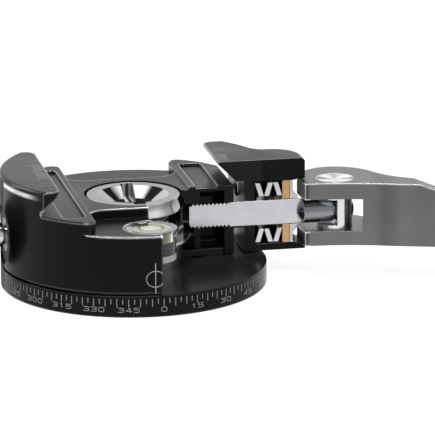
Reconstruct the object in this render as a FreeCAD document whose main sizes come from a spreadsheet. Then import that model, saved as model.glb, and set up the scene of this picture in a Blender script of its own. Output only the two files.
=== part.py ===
import FreeCAD, Part
import os
import types
import Sketcher
from FreeCAD import Placement, Rotation, Vector

# Panoramic tripod head with a lever-release dovetail clamp, shown sectioned: the front
# right quadrant of the clamp and the front half of its moving jaw are cut away.
# Millimetres. Z is the pan axis, Z = 0 the face that sits on the tripod, X runs across
# the clamp from the fixed jaw to the lever, and Y along the plate channel.

SIZES = (
    # base
    ("base_radius", 26.5, "outer radius of the base and of the clamp body"),
    ("base_height", 4.35, "top of the base's graduated rim"),
    ("rim_chamfer", 0.3, "chamfer on the turned rims"),
    ("pan_seam", 0.25, "gap between the base and the clamp body"),
    ("fit_gap", 0.03, "radial gap between parts fixed in each other"),
    ("running_gap", 0.06, "radial gap between parts that turn or slide in each other"),
    # hub and its fasteners
    ("hub_radius", 10.0, "outer radius of the hub post"),
    ("hub_top", 12.0, "top of the hub post"),
    ("hub_edge", 0.4, "chamfer on top of the hub post"),
    ("screw_count", 3, "screws that hold the tripod bush in the base"),
    ("screw_offset", 2.9, "distance of the screws from the hub post's side"),
    ("screw_radius", 1.25, "radius of a screw's shank"),
    ("screw_head_radius", 2.2, "radius of a screw's head"),
    ("screw_head_height", 1.1, "height of a screw's head"),
    ("screw_length", 4.3, "length of a screw from the mounting face"),
    ("screw_key_radius", 1.0, "hexagon socket of a screw, across corners, halved"),
    ("tripod_bore", 3.97, "minor radius of the 3/8 inch tripod thread"),
    ("bush_radius", 6.0, "outer radius of the threaded bush"),
    ("bush_height", 8.6, "length of the threaded bush"),
    ("bush_flange_radius", 15.5, "flange of the threaded bush, let into the base"),
    ("bush_flange_height", 2.2, "thickness of that flange"),
    # centre screw
    ("dish_radius", 9.3, "rim of the dished centre screw"),
    ("dish_inset", 0.15, "how far the centre screw lies below the floor round it"),
    ("dish_height", 3.05, "height of its head"),
    ("dish_neck", 0.45, "depth of the waist in the head's side"),
    ("dish_lip", 0.2, "height of the rim above the waist's start"),
    ("recess_radius", 5.8, "mouth of the conical recess"),
    ("recess_depth", 2.6, "depth of the conical recess"),
    ("key_bore", 3.4, "radius of the bore through the centre screw"),
    ("shank_radius", 7.5, "threaded shank of the centre screw"),
    ("shank_clearance", 0.7, "gap between the bush and the centre screw"),
    ("slot_width", 2.4, "width of the two spanner slots"),
    ("slot_margin", 0.9, "how far the spanner slots stop short of the head's rim"),
    ("slot_depth", 1.3, "depth of the spanner slots"),
    # pan bearing
    ("friction_margin", 0.35, "how far the friction washer stays inside the recess"),
    ("friction_height", 1.35, "thickness of the friction washer"),
    ("bearing_width", 2.4, "width of the bearing ring's bore round the hub post"),
    ("bearing_seat", 0.35, "height of the bearing ring above the skirt's ceiling"),
    ("bearing_height", 2.45, "height of the bearing ring"),
    ("thrust_margin", 0.2, "clearance round the thrust washer"),
    ("thrust_height", 0.4, "thickness of the thrust washer"),
    ("circlip_reach", 1.4, "how far the hub's circlip stands out"),
    ("circlip_height", 0.55, "thickness of the hub's circlip"),
    ("circlip_depth", 0.55, "depth of the circlip's groove in the hub"),
    ("circlip_opening", 5.0, "gap in the circlip"),
    ("axial_gap", 0.1, "end play between stacked washers"),
    # clamp body
    ("section_x", 1.0, "plane of the cut that runs along the plate channel"),
    ("jaw_rise", 4.75, "height of both jaws above the ledges"),
    ("jaw_edge", 0.8, "rounding on the jaws' outer top edges"),
    ("jaw_half_length", 16.6, "half the length of the fixed jaw"),
    ("lip_x", 17.3, "tip of each jaw's dovetail lip when open"),
    ("lip_land", 0.5, "upright land on the lip's tip"),
    ("dovetail_depth", 3.6, "how far the 45 degree flank runs in and down"),
    ("lip_corner", 2.0, "rounding on the ends of the lips"),
    ("ledge_top", 18.75, "ledges that the plate rests on"),
    ("ledge_margin", 1.4, "distance of the ledges from the centre screw's bore"),
    ("slope_width", 2.98, "width of the right ledge's slope"),
    ("pocket_margin", 1.55, "distance of the ledges' shallow pockets from their edge"),
    ("pocket_width", 4.4, "width of those pockets"),
    ("pocket_half_length", 18.8, "half the length of those pockets"),
    ("pocket_depth", 0.5, "depth of those pockets"),
    ("pocket_corner", 1.0, "corner radius of those pockets"),
    ("deck_drop", 0.55, "how far the floor between the ledges lies below them"),
    ("shelf_drop", 2.5, "how far the front and back shelves lie below the ledges"),
    ("shelf_margin", 1.9, "distance of the shelves from the centre screw's bore"),
    ("shelf_corner", 3.5, "corner radius of the shelves"),
    ("ledge_corner", 1.8, "rounding on the ends of the ledges, beside the shelves"),
    ("chord_inset", 6.1, "depth of the flat that faces the moving jaw"),
    ("chord_drop", 0.25, "how far the right ledge's slope falls"),
    ("dish_clearance", 0.45, "clearance round the centre screw's head"),
    ("deck_bore_depth", 1.6, "depth of that bore"),
    ("chamber_clearance", 0.4, "clearance of the chamber above it round the hub post"),
    ("chamber_drop", 1.0, "how far the chamber starts below the hub's top"),
    ("skirt_radius", 18.55, "recess of the clamp body over the friction washer"),
    ("skirt_rise", 1.55, "height of that recess above the base"),
    # drawbar
    ("rod_height", 12.65, "height of the drawbar's axis"),
    ("rod_radius", 2.5, "radius of the drawbar"),
    ("rod_inset", 0.95, "distance of the drawbar's inner end from the chamber"),
    ("section_margin", 0.55, "how far inside the boss the drawbar becomes whole again"),
    ("rod_end_round", 1.1, "rounding where the drawbar meets its neck"),
    ("neck_radius", 1.95, "neck of the drawbar through the cam pin"),
    ("neck_over", 0.25, "how far the neck stands out behind the cam pin"),
    ("web_thickness", 3.2, "thickness of the web that the drawbar screws into"),
    ("nut_height", 2.5, "thickness of the lock nut"),
    ("nut_flats", 8.0, "width across the lock nut's flats"),
    ("nut_headroom", 1.0, "headroom above the lock nut's flats"),
    ("nut_sideroom", 1.4, "room beside the lock nut's flats"),
    # moving jaw
    ("jaw_travel", 2.0, "stroke of the moving jaw"),
    ("jaw_gap", 2.17, "gap between the moving jaw and the clamp body when open"),
    ("jaw_lift", 0.47, "height of the moving jaw above the base"),
    ("moving_half_length", 17.2, "half the length of the moving jaw"),
    ("mouth_depth", 2.5, "distance of the boss's end face from the cam washer's plate"),
    ("boss_half", 9.3, "half the width of the spring boss"),
    ("boss_side", 0.1, "straight length of the boss's sides between their bends"),
    ("boss_blend", 3.4, "blend between the boss and the jaw's round back"),
    ("jaw_wall", 2.13, "thickness of the jaw's wall behind the spring bore"),
    ("bore_clearance", 0.1, "clearance of the spring bore round the brass washer"),
    ("mouth_reach", 1.75, "depth of the slot for the lever's cam"),
    ("mouth_clearance", 0.25, "clearance of that slot above and below the lever"),
    # disc springs and washers on the drawbar
    ("disc_count", 3, "disc springs in series"),
    ("disc_thickness", 1.0, "thickness of a disc spring"),
    ("disc_cone", 0.8, "cone height of a disc spring"),
    ("disc_inner", 3.4, "inner radius of the disc springs"),
    ("disc_clearance", 0.35, "clearance of the disc springs in the spring bore"),
    ("disc_seat", 0.05, "gap between stacked disc springs"),
    ("brass_height", 1.5, "thickness of the brass washer"),
    ("brass_outer", 6.35, "outer radius of the brass washer"),
    ("saddle_height", 0.6, "thickness of the cam washer's plate"),
    ("saddle_cone", 1.05, "height of the cam washer's cone"),
    ("saddle_cone_base", 4.4, "radius of the cone at the plate"),
    ("saddle_cone_tip", 3.05, "radius of the cone at its tip"),
    ("washer_clearance", 0.12, "clearance of both washers round the drawbar"),
    # lever and its pin
    ("cam_gap", 0.25, "gap between the cam washer and the open cam"),
    ("pin_radius", 3.55, "radius of the cam pin"),
    ("pin_flat", 0.2, "how far the pin's side slot stops short of its axis"),
    ("pin_slot_clearance", 0.12, "clearance of the pin's side slot round the drawbar"),
    ("pin_dimple", 0.35, "depth of the cone turned in the pin's head"),
    ("cam_open", 7.25, "reach of the cam towards the jaw when open"),
    ("lobe_angle_x", 8.38, "end of the cam's round lobe, along the arm"),
    ("lobe_angle_y", 3.9, "end of the cam's round lobe, across the arm"),
    ("cam_corner_x", 6.9, "front corner of the cam, towards the jaw"),
    ("cam_corner_y", 3.9, "front corner of the cam, to the front"),
    ("lever_half", 6.4, "half the height of the lever"),
    ("slot_clearance", 0.6, "clearance of the lever's slot above and below the drawbar"),
    ("slot_drop", 0.4, "extra depth of that slot below the drawbar"),
    ("slot_back", 0.65, "how far its end lies behind the cam pin, at the lever's front"),
    ("slot_slant", 3.8, "how much farther it lies at the lever's back"),
    ("waist_x", 14.4, "waist behind the cam, along the arm"),
    ("waist_y", 3.0, "waist behind the cam, to the front"),
    ("waist_radius", 16.0, "hollow that leads into the waist"),
    ("arm_length", 43.5, "reach of the lever's arm"),
    ("arm_sweep", 13.0, "how far the arm's back swings to the front"),
    ("arm_radius", 75.0, "curve of the arm's back"),
    ("tip_radius", 2.4, "rounded tip of the arm"),
    ("arm_width", 4.4, "width of the arm at its tip"),
    ("front_hollow_x", 10.5, "end of the hollow in the arm's front"),
    ("front_hollow_y", 7.5, "depth to the front at that end"),
    ("front_radius", 53.0, "radius of that hollow"),
    ("taper_start", 15.5, "where the arm's top starts to fall"),
    ("taper_end", 24.8, "where it levels out"),
    ("taper_drop", 3.2, "how far it falls"),
    ("taper_radius", 2.0, "radius of both bends of that fall"),
    ("pin_stem", 2.5, "radius of the cam pin's stem, below the shoulder that it hangs on"),
    ("pin_step", 2.2, "height of that shoulder above the lever's underside"),
    ("pin_clip_reach", 0.7, "how far the cam pin's circlip stands out from the stem"),
    ("pin_clip_height", 0.5, "thickness of the cam pin's circlip"),
    ("pin_clip_depth", 0.4, "depth of its groove"),
    ("pin_clip_room", 1.15, "depth of the lever's counterbore for it"),
    # guide pin and return spring
    ("guide_y", 8.6, "distance of the guide pin and return spring from the drawbar"),
    ("guide_drop", 3.65, "how far the guide pin lies below the drawbar"),
    ("guide_radius", 1.5, "radius of the guide pin"),
    ("guide_margin", 0.2, "how far the guide pin reaches into the web"),
    ("guide_inset", 0.6, "how far the guide pin stops short of the jaw's wall"),
    ("return_rise", 2.95, "how far the return spring lies above the drawbar"),
    ("return_radius", 1.45, "outer radius of the return spring"),
    ("return_wire", 0.2, "half the thickness of the return spring's wire"),
    ("return_turns", 7, "turns of the return spring"),
    ("return_room", 1.65, "radius of its pockets"),
    ("return_depth", 4.8, "depth of the return spring's pocket in the clamp body"),
    ("return_seat", 1.93, "depth of its pocket in the jaw"),
    # bull's-eye level
    ("level_inset", 6.75, "distance of the level from the clamp body's edge"),
    ("level_radius", 4.85, "radius of the level's vial"),
    ("level_rim_width", 0.27, "width of the vial's rim"),
    ("level_rim_height", 0.4, "height of that rim"),
    ("level_height", 4.85, "height of the vial"),
    ("level_window", 0.45, "thickness of the vial's window"),
    ("fluid_radius", 3.9, "radius of the fluid's chamber"),
    ("fluid_height", 2.0, "height of the fluid's chamber"),
    ("bubble_radius", 2.0, "radius of the bubble"),
    ("bubble_height", 0.5, "height of the bubble"),
    ("level_seat", 1.3, "height of the ring under the vial"),
    # pan lock
    ("lock_drop", 0.8, "how far the pan lock's axis lies below the hub's top"),
    ("spot_radius", 6.0, "spot face for the pan lock"),
    ("spot_depth", 0.7, "depth of the pan lock's spot face"),
    ("lock_bush_radius", 3.4, "radius of the threaded bush"),
    ("lock_bush_length", 5.2, "length of the threaded bush"),
    ("lock_thread", 2.0, "radius of the lock screw's thread"),
    ("lock_stem", 2.4, "radius of the lock screw's stem"),
    ("lock_travel", 0.4, "stroke of the lock screw"),
    ("stem_gap", 0.6, "gap between the stem's shoulder and the spot face"),
    ("knob_gap", 3.2, "gap between the knob and the spot face"),
    ("knob_radius", 6.5, "radius of the knob"),
    ("knob_length", 9.0, "length of the knob"),
    ("knob_lobes", 10, "finger grooves round the knob"),
    ("knob_groove", 1.4, "radius of a finger groove"),
    ("knob_edge", 0.7, "chamfer on the knob"),
    ("stem_grip", 5.0, "length of the stem inside the knob"),
    ("cap_radius", 3.8, "radius of the knob's end cap"),
    ("cap_height", 0.8, "thickness of the knob's end cap"),
    ("shoe_radius", 2.4, "radius of the brake plunger"),
    ("shoe_wall", 3.0, "wall left between the plunger's bore and the chamber"),
    ("tip_pin_radius", 0.7, "radius of the plunger's tip"),
    ("tip_room", 0.85, "hole for that tip"),
    ("shoe_gap", 0.5, "gap between the plunger's tip and the hub when released"),
)


class Size:
    """A length with its value and the spreadsheet expression that gives it."""

    def __init__(self, value, text):
        self.value = value
        self.text = text

    def __add__(self, other):
        other = as_size(other)
        return Size(self.value + other.value, f"({self.text} + {other.text})")

    def __sub__(self, other):
        other = as_size(other)
        return Size(self.value - other.value, f"({self.text} - {other.text})")

    def __mul__(self, other):
        other = as_size(other)
        return Size(self.value * other.value, f"({self.text} * {other.text})")

    def __truediv__(self, other):
        other = as_size(other)
        return Size(self.value / other.value, f"({self.text} / {other.text})")

    def __neg__(self):
        return Size(-self.value, f"(0 - {self.text})")


def as_size(number):
    """A plain number becomes a Size, and a Size stays as it is."""
    return number if isinstance(number, Size) else Size(float(number), repr(float(number)))


def root(square):
    """Square root of a Size."""
    return Size(square.value ** 0.5, f"sqrt({square.text})")


def circle_at(radius, offset):
    """The other coordinate of a circle's point that lies offset from one of its axes."""
    return root(radius * radius - offset * offset)


doc = FreeCAD.newDocument("PanoramicHead")
sheet = doc.addObject("Spreadsheet::Sheet", "Sizes")
for row, (name, number, meaning) in enumerate(SIZES, start=1):
    sheet.set(f"A{row}", meaning)
    sheet.set(f"B{row}", str(number))
    sheet.setAlias(f"B{row}", name)
doc.recompute()
s = types.SimpleNamespace(**{name: Size(float(sheet.get(name)), f"Sizes.{name}") for name, _, _ in SIZES})

# Levels, places and fits that follow from the sizes above.
reach = s.base_radius + s.arm_length
body_bottom = s.base_height + s.pan_seam
skirt_top = s.base_height + s.skirt_rise
friction_bottom = s.base_height + s.fit_gap
friction_outer = s.skirt_radius - s.friction_margin
screw_circle = s.hub_radius + s.screw_offset
bearing_radius = s.hub_radius + s.bearing_width
bearing_bottom = skirt_top + s.bearing_seat
bearing_top = bearing_bottom + s.bearing_height
thrust_outer = bearing_radius - s.thrust_margin
thrust_bottom = bearing_top + s.fit_gap
circlip_radius = s.hub_radius + s.circlip_reach
circlip_bottom = thrust_bottom + s.thrust_height + s.axial_gap
chamber_radius = s.hub_radius + s.chamber_clearance
chamber_bottom = s.hub_top - s.chamber_drop

# The clamp body's channel.
jaw_top = s.ledge_top + s.jaw_rise
deck_top = s.ledge_top - s.deck_drop
shelf_top = s.ledge_top - s.shelf_drop
lip_root = s.lip_x + s.dovetail_depth
lip_bottom = jaw_top - s.lip_land
chord_x = s.base_radius - s.chord_inset
chord_top = s.ledge_top - s.chord_drop
deck_bore = s.dish_radius + s.dish_clearance
ledge_inner = deck_bore + s.ledge_margin
ledge_outer = chord_x - s.slope_width
pocket_inner = ledge_inner + s.pocket_margin
pocket_outer = pocket_inner + s.pocket_width
shelf_start = deck_bore + s.shelf_margin
dish_top = deck_top - s.dish_inset
dish_bottom = dish_top - s.dish_height
slot_reach = s.dish_radius - s.slot_margin
shank_bottom = s.bush_height + s.shank_clearance

# The drawbar and what it carries, from the web out to the cam pin.
web_outer = chamber_radius + s.web_thickness
rod_start = chamber_radius + s.rod_inset
nut_room_half = s.nut_flats / 2 + s.nut_sideroom
nut_room_ceiling = s.rod_height + s.nut_flats / 2 + s.nut_headroom
jaw_bottom = s.base_height + s.jaw_lift
jaw_face = chord_x + s.jaw_gap
wall_end = jaw_face + s.jaw_wall
stack_start = wall_end + s.disc_seat
disc_step = s.disc_thickness + s.disc_cone + s.disc_seat
brass_start = stack_start + disc_step * s.disc_count
saddle_start = brass_start + s.brass_height + s.disc_seat
saddle_face = saddle_start + s.saddle_height
spring_bore = s.brass_outer + s.bore_clearance
disc_outer = spring_bore - s.disc_clearance
washer_bore = s.rod_radius + s.washer_clearance
boss_end = saddle_face + s.mouth_depth
mouth_start = boss_end - s.mouth_reach
mouth_half = s.lever_half + s.mouth_clearance
rod_section_end = boss_end - s.section_margin
pin_x = saddle_face + s.saddle_cone + s.cam_gap + s.cam_open
pin_slot_half = s.rod_radius + s.pin_slot_clearance
pin_clip_outer = s.pin_stem + s.pin_clip_reach
pin_shoulder = s.pin_step - s.lever_half
slot_half = s.rod_radius + s.slot_clearance
slot_bottom = -(slot_half + s.slot_drop)
lobe_radius = s.cam_open + s.jaw_travel
guide_height = s.rod_height - s.guide_drop
guide_start = web_outer - s.guide_margin
guide_end = wall_end - s.guide_inset
guide_hole_end = guide_end + s.jaw_travel + s.guide_margin
return_height = s.rod_height + s.return_rise
return_start = chord_x - s.return_depth
return_end = jaw_face + s.return_seat

# The level and the pan lock.
level_y = s.base_radius - s.level_inset
level_rim = s.level_radius + s.level_rim_width
level_bottom = shelf_top - s.level_height
seat_bottom = level_bottom - s.level_seat
knob_height = s.hub_top - s.lock_drop
spot_x = s.base_radius - s.spot_depth
bush_end = spot_x - s.lock_bush_length
shoe_end = chamber_radius + s.shoe_wall

nodes = []


# Sketching and features

def origin_plane(body, role):
    """One of a body's own three origin planes."""
    return next(f for f in body.Origin.OriginFeatures if f.Role == role)


def new_body(label):
    """A body with its own label, which names its file."""
    body = doc.addObject("PartDesign::Body", label)
    body.Label = label
    nodes.append(body)
    return body


def place(body, **offsets):
    """Set a body off from the origin along the axes that are named."""
    here = [as_size(offsets.get(axis, 0)) for axis in "xyz"]
    body.Placement = Placement(Vector(*[size.value for size in here]), Rotation())
    for axis, size in zip("xyz", here):
        body.setExpression(f"Placement.Base.{axis}", size.text)


def new_sketch(body, role, offset=0):
    """A sketch on an origin plane, moved along the plane's normal by offset."""
    sketch = body.newObject("Sketcher::SketchObject", f"{body.Label}_sketch")
    sketch.AttachmentSupport = [(origin_plane(body, role), "")]
    sketch.MapMode = "FlatFace"
    offset = as_size(offset)
    sketch.AttachmentOffset = Placement(Vector(0, 0, offset.value), Rotation())
    sketch.setExpression("AttachmentOffset.Base.z", offset.text)
    return sketch


def constrain(sketch, kind, *where, size=None):
    """Add a constraint, and bind its value to the sheet where it has one."""
    if size is None:
        return sketch.addConstraint(Sketcher.Constraint(kind, *where))
    index = sketch.addConstraint(Sketcher.Constraint(kind, *where, size.value))
    sketch.setExpression(f"Constraints[{index}]", size.text)
    return index


def pin_point(sketch, geometry, end, point):
    """Hold a point of the sketch at its two coordinates."""
    for kind, axis, coordinate in (("DistanceX", -2, point[0]), ("DistanceY", -1, point[1])):
        if isinstance(coordinate, Size):
            constrain(sketch, kind, -1, 1, geometry, end, size=coordinate)
        elif coordinate == 0:
            constrain(sketch, "PointOnObject", geometry, end, axis)
        else:
            constrain(sketch, kind, -1, 1, geometry, end, size=as_size(coordinate))


def arc_centre(start, end, radius, turn):
    """Centre of the shorter arc from start to end; turn is 1 for left, -1 for right."""
    chord = end - start
    half = chord.Length / 2
    rise = max(radius * radius - half * half, 0.0) ** 0.5
    across = Vector(-chord.y, chord.x, 0).normalize()
    return start + chord * 0.5 + across * (rise * turn)


def outline(sketch, *steps):
    """Closed outline. Each step is a corner (x, y), or (x, y, radius, turn) where an
    arc of that radius leads to the corner from the one before."""
    corners = [Vector(as_size(step[0]).value, as_size(step[1]).value, 0) for step in steps]
    ends = []
    for index, step in enumerate(steps):
        start, end = corners[index - 1], corners[index]
        if len(step) == 2:
            geometry = sketch.addGeometry(Part.LineSegment(start, end), False)
            ends.append((geometry, 1, 2))
            continue
        radius, turn = as_size(step[2]), step[3]
        centre = arc_centre(start, end, radius.value, turn)
        first, last = (start, end) if turn > 0 else (end, start)
        east = Vector(1, 0, 0)
        angles = [east.getAngle(p - centre) * (1 if p.y >= centre.y else -1) for p in (first, last)]
        circle = Part.Circle(centre, Vector(0, 0, 1), radius.value)
        geometry = sketch.addGeometry(Part.ArcOfCircle(circle, angles[0], angles[1]), False)
        ends.append((geometry, 1, 2) if turn > 0 else (geometry, 2, 1))
        constrain(sketch, "Radius", geometry, size=radius)
    for index, step in enumerate(steps):
        geometry, first, last = ends[index]
        following = ends[(index + 1) % len(ends)]
        constrain(sketch, "Coincident", geometry, last, following[0], following[1])
        pin_point(sketch, geometry, last, step)


def rectangle(sketch, left, bottom, right, top):
    """Closed rectangle between two corners."""
    outline(sketch, (left, bottom), (right, bottom), (right, top), (left, top))


def rounded_rectangle(sketch, left, bottom, right, top, radius):
    """Closed rectangle with four rounded corners."""
    left, bottom, right, top = [as_size(value) for value in (left, bottom, right, top)]
    outline(
        sketch,
        (right - radius, bottom), (right, bottom + radius, radius, 1),
        (right, top - radius), (right - radius, top, radius, 1),
        (left + radius, top), (left, top - radius, radius, 1),
        (left, bottom + radius), (left + radius, bottom, radius, 1),
    )


def circle(sketch, x, y, radius):
    """Full circle, held at its centre."""
    centre = Vector(as_size(x).value, as_size(y).value, 0)
    geometry = sketch.addGeometry(Part.Circle(centre, Vector(0, 0, 1), as_size(radius).value), False)
    constrain(sketch, "Radius", geometry, size=as_size(radius))
    pin_point(sketch, geometry, 3, (x, y))


def hexagon(sketch, x, y, corner):
    """Regular hexagon with corners that lie corner away from its centre, two along x."""
    half = corner / 2
    rise = corner * (0.75 ** 0.5)
    x = as_size(x)
    y = as_size(y)
    outline(
        sketch,
        (x + corner, y), (x + half, y + rise), (x - half, y + rise),
        (x - corner, y), (x - half, y - rise), (x + half, y - rise),
    )


def volume(body):
    """Volume of a body as it stands."""
    return body.Shape.Volume if not body.Shape.isNull() else 0.0


def finish(body, feature, grows):
    """Recompute, and make sure that the feature did what it was for."""
    before = volume(body)
    body.Tip = feature
    doc.recompute()
    change = volume(body) - before
    if (change <= 0) if grows else (change >= 0):
        raise RuntimeError(f"{feature.Name} changed the volume of {body.Label} by {change:.4f}")
    return feature


def extrude(body, sketch, length, kind="PartDesign::Pad", both=False, reverse=False):
    """Pad or pocket of a sketch. No length means through all."""
    feature = body.newObject(kind, f"{body.Label}_{kind[12:].lower()}")
    feature.Profile = sketch
    feature.SideType = "Symmetric" if both else "One side"
    feature.Reversed = reverse
    if length is None:
        feature.Type = "ThroughAll"
    else:
        feature.Length = as_size(length).value
        feature.setExpression("Length", as_size(length).text)
    return finish(body, feature, kind == "PartDesign::Pad")


def pocket(body, sketch, length=None, both=False, reverse=False):
    """Cut a sketch into a body. No length means through all."""
    return extrude(body, sketch, length, "PartDesign::Pocket", both, reverse)


def revolve(body, sketch, axis="V_Axis", angle=360.0, reverse=False, kind="PartDesign::Revolution"):
    """Turn a sketch about one of its own axes."""
    feature = body.newObject(kind, f"{body.Label}_{kind[12:].lower()}")
    feature.Profile = sketch
    feature.ReferenceAxis = (sketch, [axis])
    feature.Angle = angle
    feature.Reversed = reverse
    return finish(body, feature, kind == "PartDesign::Revolution")


def groove(body, sketch, axis="V_Axis"):
    """Turn a sketch out of a body."""
    return revolve(body, sketch, axis, kind="PartDesign::Groove")


def turned(label, *steps, axis="V_Axis"):
    """A body turned from the outline of half its section, radius first for the pan axis,
    length first for the drawbar's axis."""
    body = new_body(label)
    sketch = new_sketch(body, "XZ_Plane")
    outline(sketch, *steps)
    revolve(body, sketch, axis)
    return body


def ring_steps(inner, bottom, outer, top):
    """Section of a plain ring."""
    return (inner, bottom), (outer, bottom), (outer, top), (inner, top)


def cut_circle(body, role, offset, x, y, radius, length=None, both=False, reverse=False):
    """Cut a round hole."""
    sketch = new_sketch(body, role, offset)
    circle(sketch, x, y, radius)
    return pocket(body, sketch, length, both, reverse)


def around(body, feature, count, axis="Z_Axis"):
    """Repeat the last feature evenly round an origin axis of the body."""
    pattern = body.newObject("PartDesign::PolarPattern", f"{body.Label}_pattern")
    pattern.Originals = [feature]
    pattern.Axis = (origin_plane(body, axis), [""])
    pattern.Angle = 360
    pattern.Occurrences = int(count.value)
    pattern.setExpression("Occurrences", count.text)
    return finish(body, pattern, feature.TypeId not in ("PartDesign::Pocket", "PartDesign::Groove"))


def dress(body, kind, size, chosen):
    """Fillet or chamfer the edges that chosen picks."""
    names = [f"Edge{i}" for i, edge in enumerate(body.Shape.Edges, start=1) if chosen(edge)]
    if not names:
        raise RuntimeError(f"no edge of {body.Label} to dress")
    solid = body.Tip
    feature = body.newObject(f"PartDesign::{kind}", f"{body.Label}_{kind.lower()}")
    feature.Base = (solid, names)
    value = "Radius" if kind == "Fillet" else "Size"
    setattr(feature, value, size.value)
    feature.setExpression(value, size.text)
    return finish(body, feature, grows=False)


def near(value, size):
    """True where a measured number is the size's value."""
    return abs(value - as_size(size).value) < 1e-4


def section_quadrant(body):
    """Cut away the front right quadrant: x above the section plane and y below zero."""
    sketch = new_sketch(body, "XY_Plane")
    rectangle(sketch, s.section_x, -reach, reach, 0)
    return pocket(body, sketch, both=True)


# Base

def build_base_disc():
    """Graduated disc with a bore for the hub post and a seat for the bush underneath."""
    seat = s.bush_flange_radius + s.fit_gap
    bore = s.hub_radius + s.fit_gap
    seat_top = s.bush_flange_height + s.fit_gap
    body = turned(
        "base_disc",
        (seat, 0), (s.base_radius - s.rim_chamfer, 0), (s.base_radius, s.rim_chamfer),
        (s.base_radius, s.base_height), (bore, s.base_height), (bore, seat_top), (seat, seat_top),
    )
    hole = cut_circle(body, "XY_Plane", seat_top, screw_circle, 0, s.screw_radius + s.fit_gap,
                      s.screw_length + s.axial_gap - s.bush_flange_height, reverse=True)
    around(body, hole, s.screw_count)


def build_hub_post():
    """Sleeve that the clamp body turns on, bored for the bush and the centre screw."""
    foot = s.bush_flange_height + s.fit_gap
    bush_seat = s.bush_radius + s.fit_gap
    shank_seat = s.shank_radius + s.fit_gap
    shoulder = shank_bottom - s.axial_gap
    groove_radius = s.hub_radius - s.circlip_depth
    groove_bottom = circlip_bottom - s.fit_gap
    groove_top = circlip_bottom + s.circlip_height + s.fit_gap
    turned(
        "hub_post",
        (bush_seat, foot), (s.hub_radius, foot), (s.hub_radius, groove_bottom),
        (groove_radius, groove_bottom), (groove_radius, groove_top), (s.hub_radius, groove_top),
        (s.hub_radius, s.hub_top - s.hub_edge), (s.hub_radius - s.hub_edge, s.hub_top),
        (shank_seat, s.hub_top), (shank_seat, shoulder), (bush_seat, shoulder),
    )


def build_hub_screws():
    """Socket-head screws, flush with the mounting face, as one group of solids."""
    body = new_body("hub_screws")
    sketch = new_sketch(body, "XY_Plane", s.axial_gap)
    circle(sketch, screw_circle, 0, s.screw_head_radius)
    extrude(body, sketch, s.screw_head_height - s.fit_gap)
    sketch = new_sketch(body, "XY_Plane", s.screw_head_height)
    circle(sketch, screw_circle, 0, s.screw_radius)
    extrude(body, sketch, s.screw_length - s.screw_head_height)
    sketch = new_sketch(body, "XY_Plane", s.axial_gap)
    hexagon(sketch, screw_circle, 0, s.screw_key_radius)
    pocket(body, sketch, s.screw_head_height / 2, reverse=True)
    one_screw = [f for f in body.Group if f.isDerivedFrom("PartDesign::Feature")]
    pattern = body.newObject("PartDesign::PolarPattern", "hub_screws_pattern")
    pattern.Originals = one_screw
    pattern.Axis = (origin_plane(body, "Z_Axis"), [""])
    pattern.Angle = 360
    pattern.Occurrences = int(s.screw_count.value)
    pattern.setExpression("Occurrences", s.screw_count.text)
    finish(body, pattern, grows=True)


def build_tripod_bush():
    """Bush with the tripod thread and a wide flange, drilled for its screws."""
    body = turned(
        "tripod_bush",
        (s.tripod_bore, 0), (s.bush_flange_radius, 0), (s.bush_flange_radius, s.bush_flange_height),
        (s.bush_radius, s.bush_flange_height), (s.bush_radius, s.bush_height),
        (s.tripod_bore, s.bush_height),
    )
    shank = cut_circle(body, "XY_Plane", 0, screw_circle, 0, s.screw_radius + s.fit_gap,
                       s.bush_flange_height, reverse=True)
    around(body, shank, s.screw_count)
    head = cut_circle(body, "XY_Plane", 0, screw_circle, 0, s.screw_head_radius + s.fit_gap,
                      s.screw_head_height + s.axial_gap, reverse=True)
    around(body, head, s.screw_count)


def build_centre_screw():
    """Dished screw that closes the hub, with a waisted head and two spanner slots."""
    lip = s.dish_radius - s.dish_lip / 2
    waist_height = s.dish_height * 0.6
    foot = s.dish_neck / 2
    body = turned(
        "centre_screw",
        (s.key_bore, shank_bottom), (s.shank_radius - s.hub_edge, shank_bottom),
        (s.shank_radius, shank_bottom + s.hub_edge), (s.shank_radius, dish_bottom),
        (s.dish_radius - foot, dish_bottom), (s.dish_radius, dish_bottom + foot),
        (s.dish_radius - s.dish_neck, dish_bottom + waist_height),
        (lip, dish_top - s.dish_lip), (lip, dish_top - s.dish_lip / 2),
        (lip - s.dish_lip / 2, dish_top), (s.recess_radius, dish_top),
        (s.key_bore, dish_top - s.recess_depth),
    )
    sketch = new_sketch(body, "XY_Plane", dish_top)
    rectangle(sketch, -(s.slot_width / 2), s.key_bore, s.slot_width / 2, slot_reach)
    slot = pocket(body, sketch, s.slot_depth)
    around(body, slot, as_size(2))


def build_pan_bearing():
    """Washers, bearing ring and circlip between the base and the clamp body."""
    bore = s.hub_radius + s.running_gap
    friction = turned("friction_washer", *ring_steps(bore, friction_bottom, friction_outer,
                                                     friction_bottom + s.friction_height))
    section_quadrant(friction)
    bearing = turned("bearing_ring", *ring_steps(bore, bearing_bottom,
                                                 bearing_radius - s.fit_gap, bearing_top))
    section_quadrant(bearing)
    thrust = turned("thrust_washer", *ring_steps(bore, thrust_bottom,
                                                 thrust_outer, thrust_bottom + s.thrust_height))
    section_quadrant(thrust)
    clip = turned("hub_circlip", *ring_steps(s.hub_radius - s.circlip_depth + s.fit_gap, circlip_bottom,
                                             circlip_radius, circlip_bottom + s.circlip_height))
    sketch = new_sketch(clip, "XY_Plane", circlip_bottom)
    half = s.circlip_opening / 2
    rectangle(sketch, -half, 0, half, reach)
    pocket(clip, sketch, reverse=True)


# Clamp body

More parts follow.
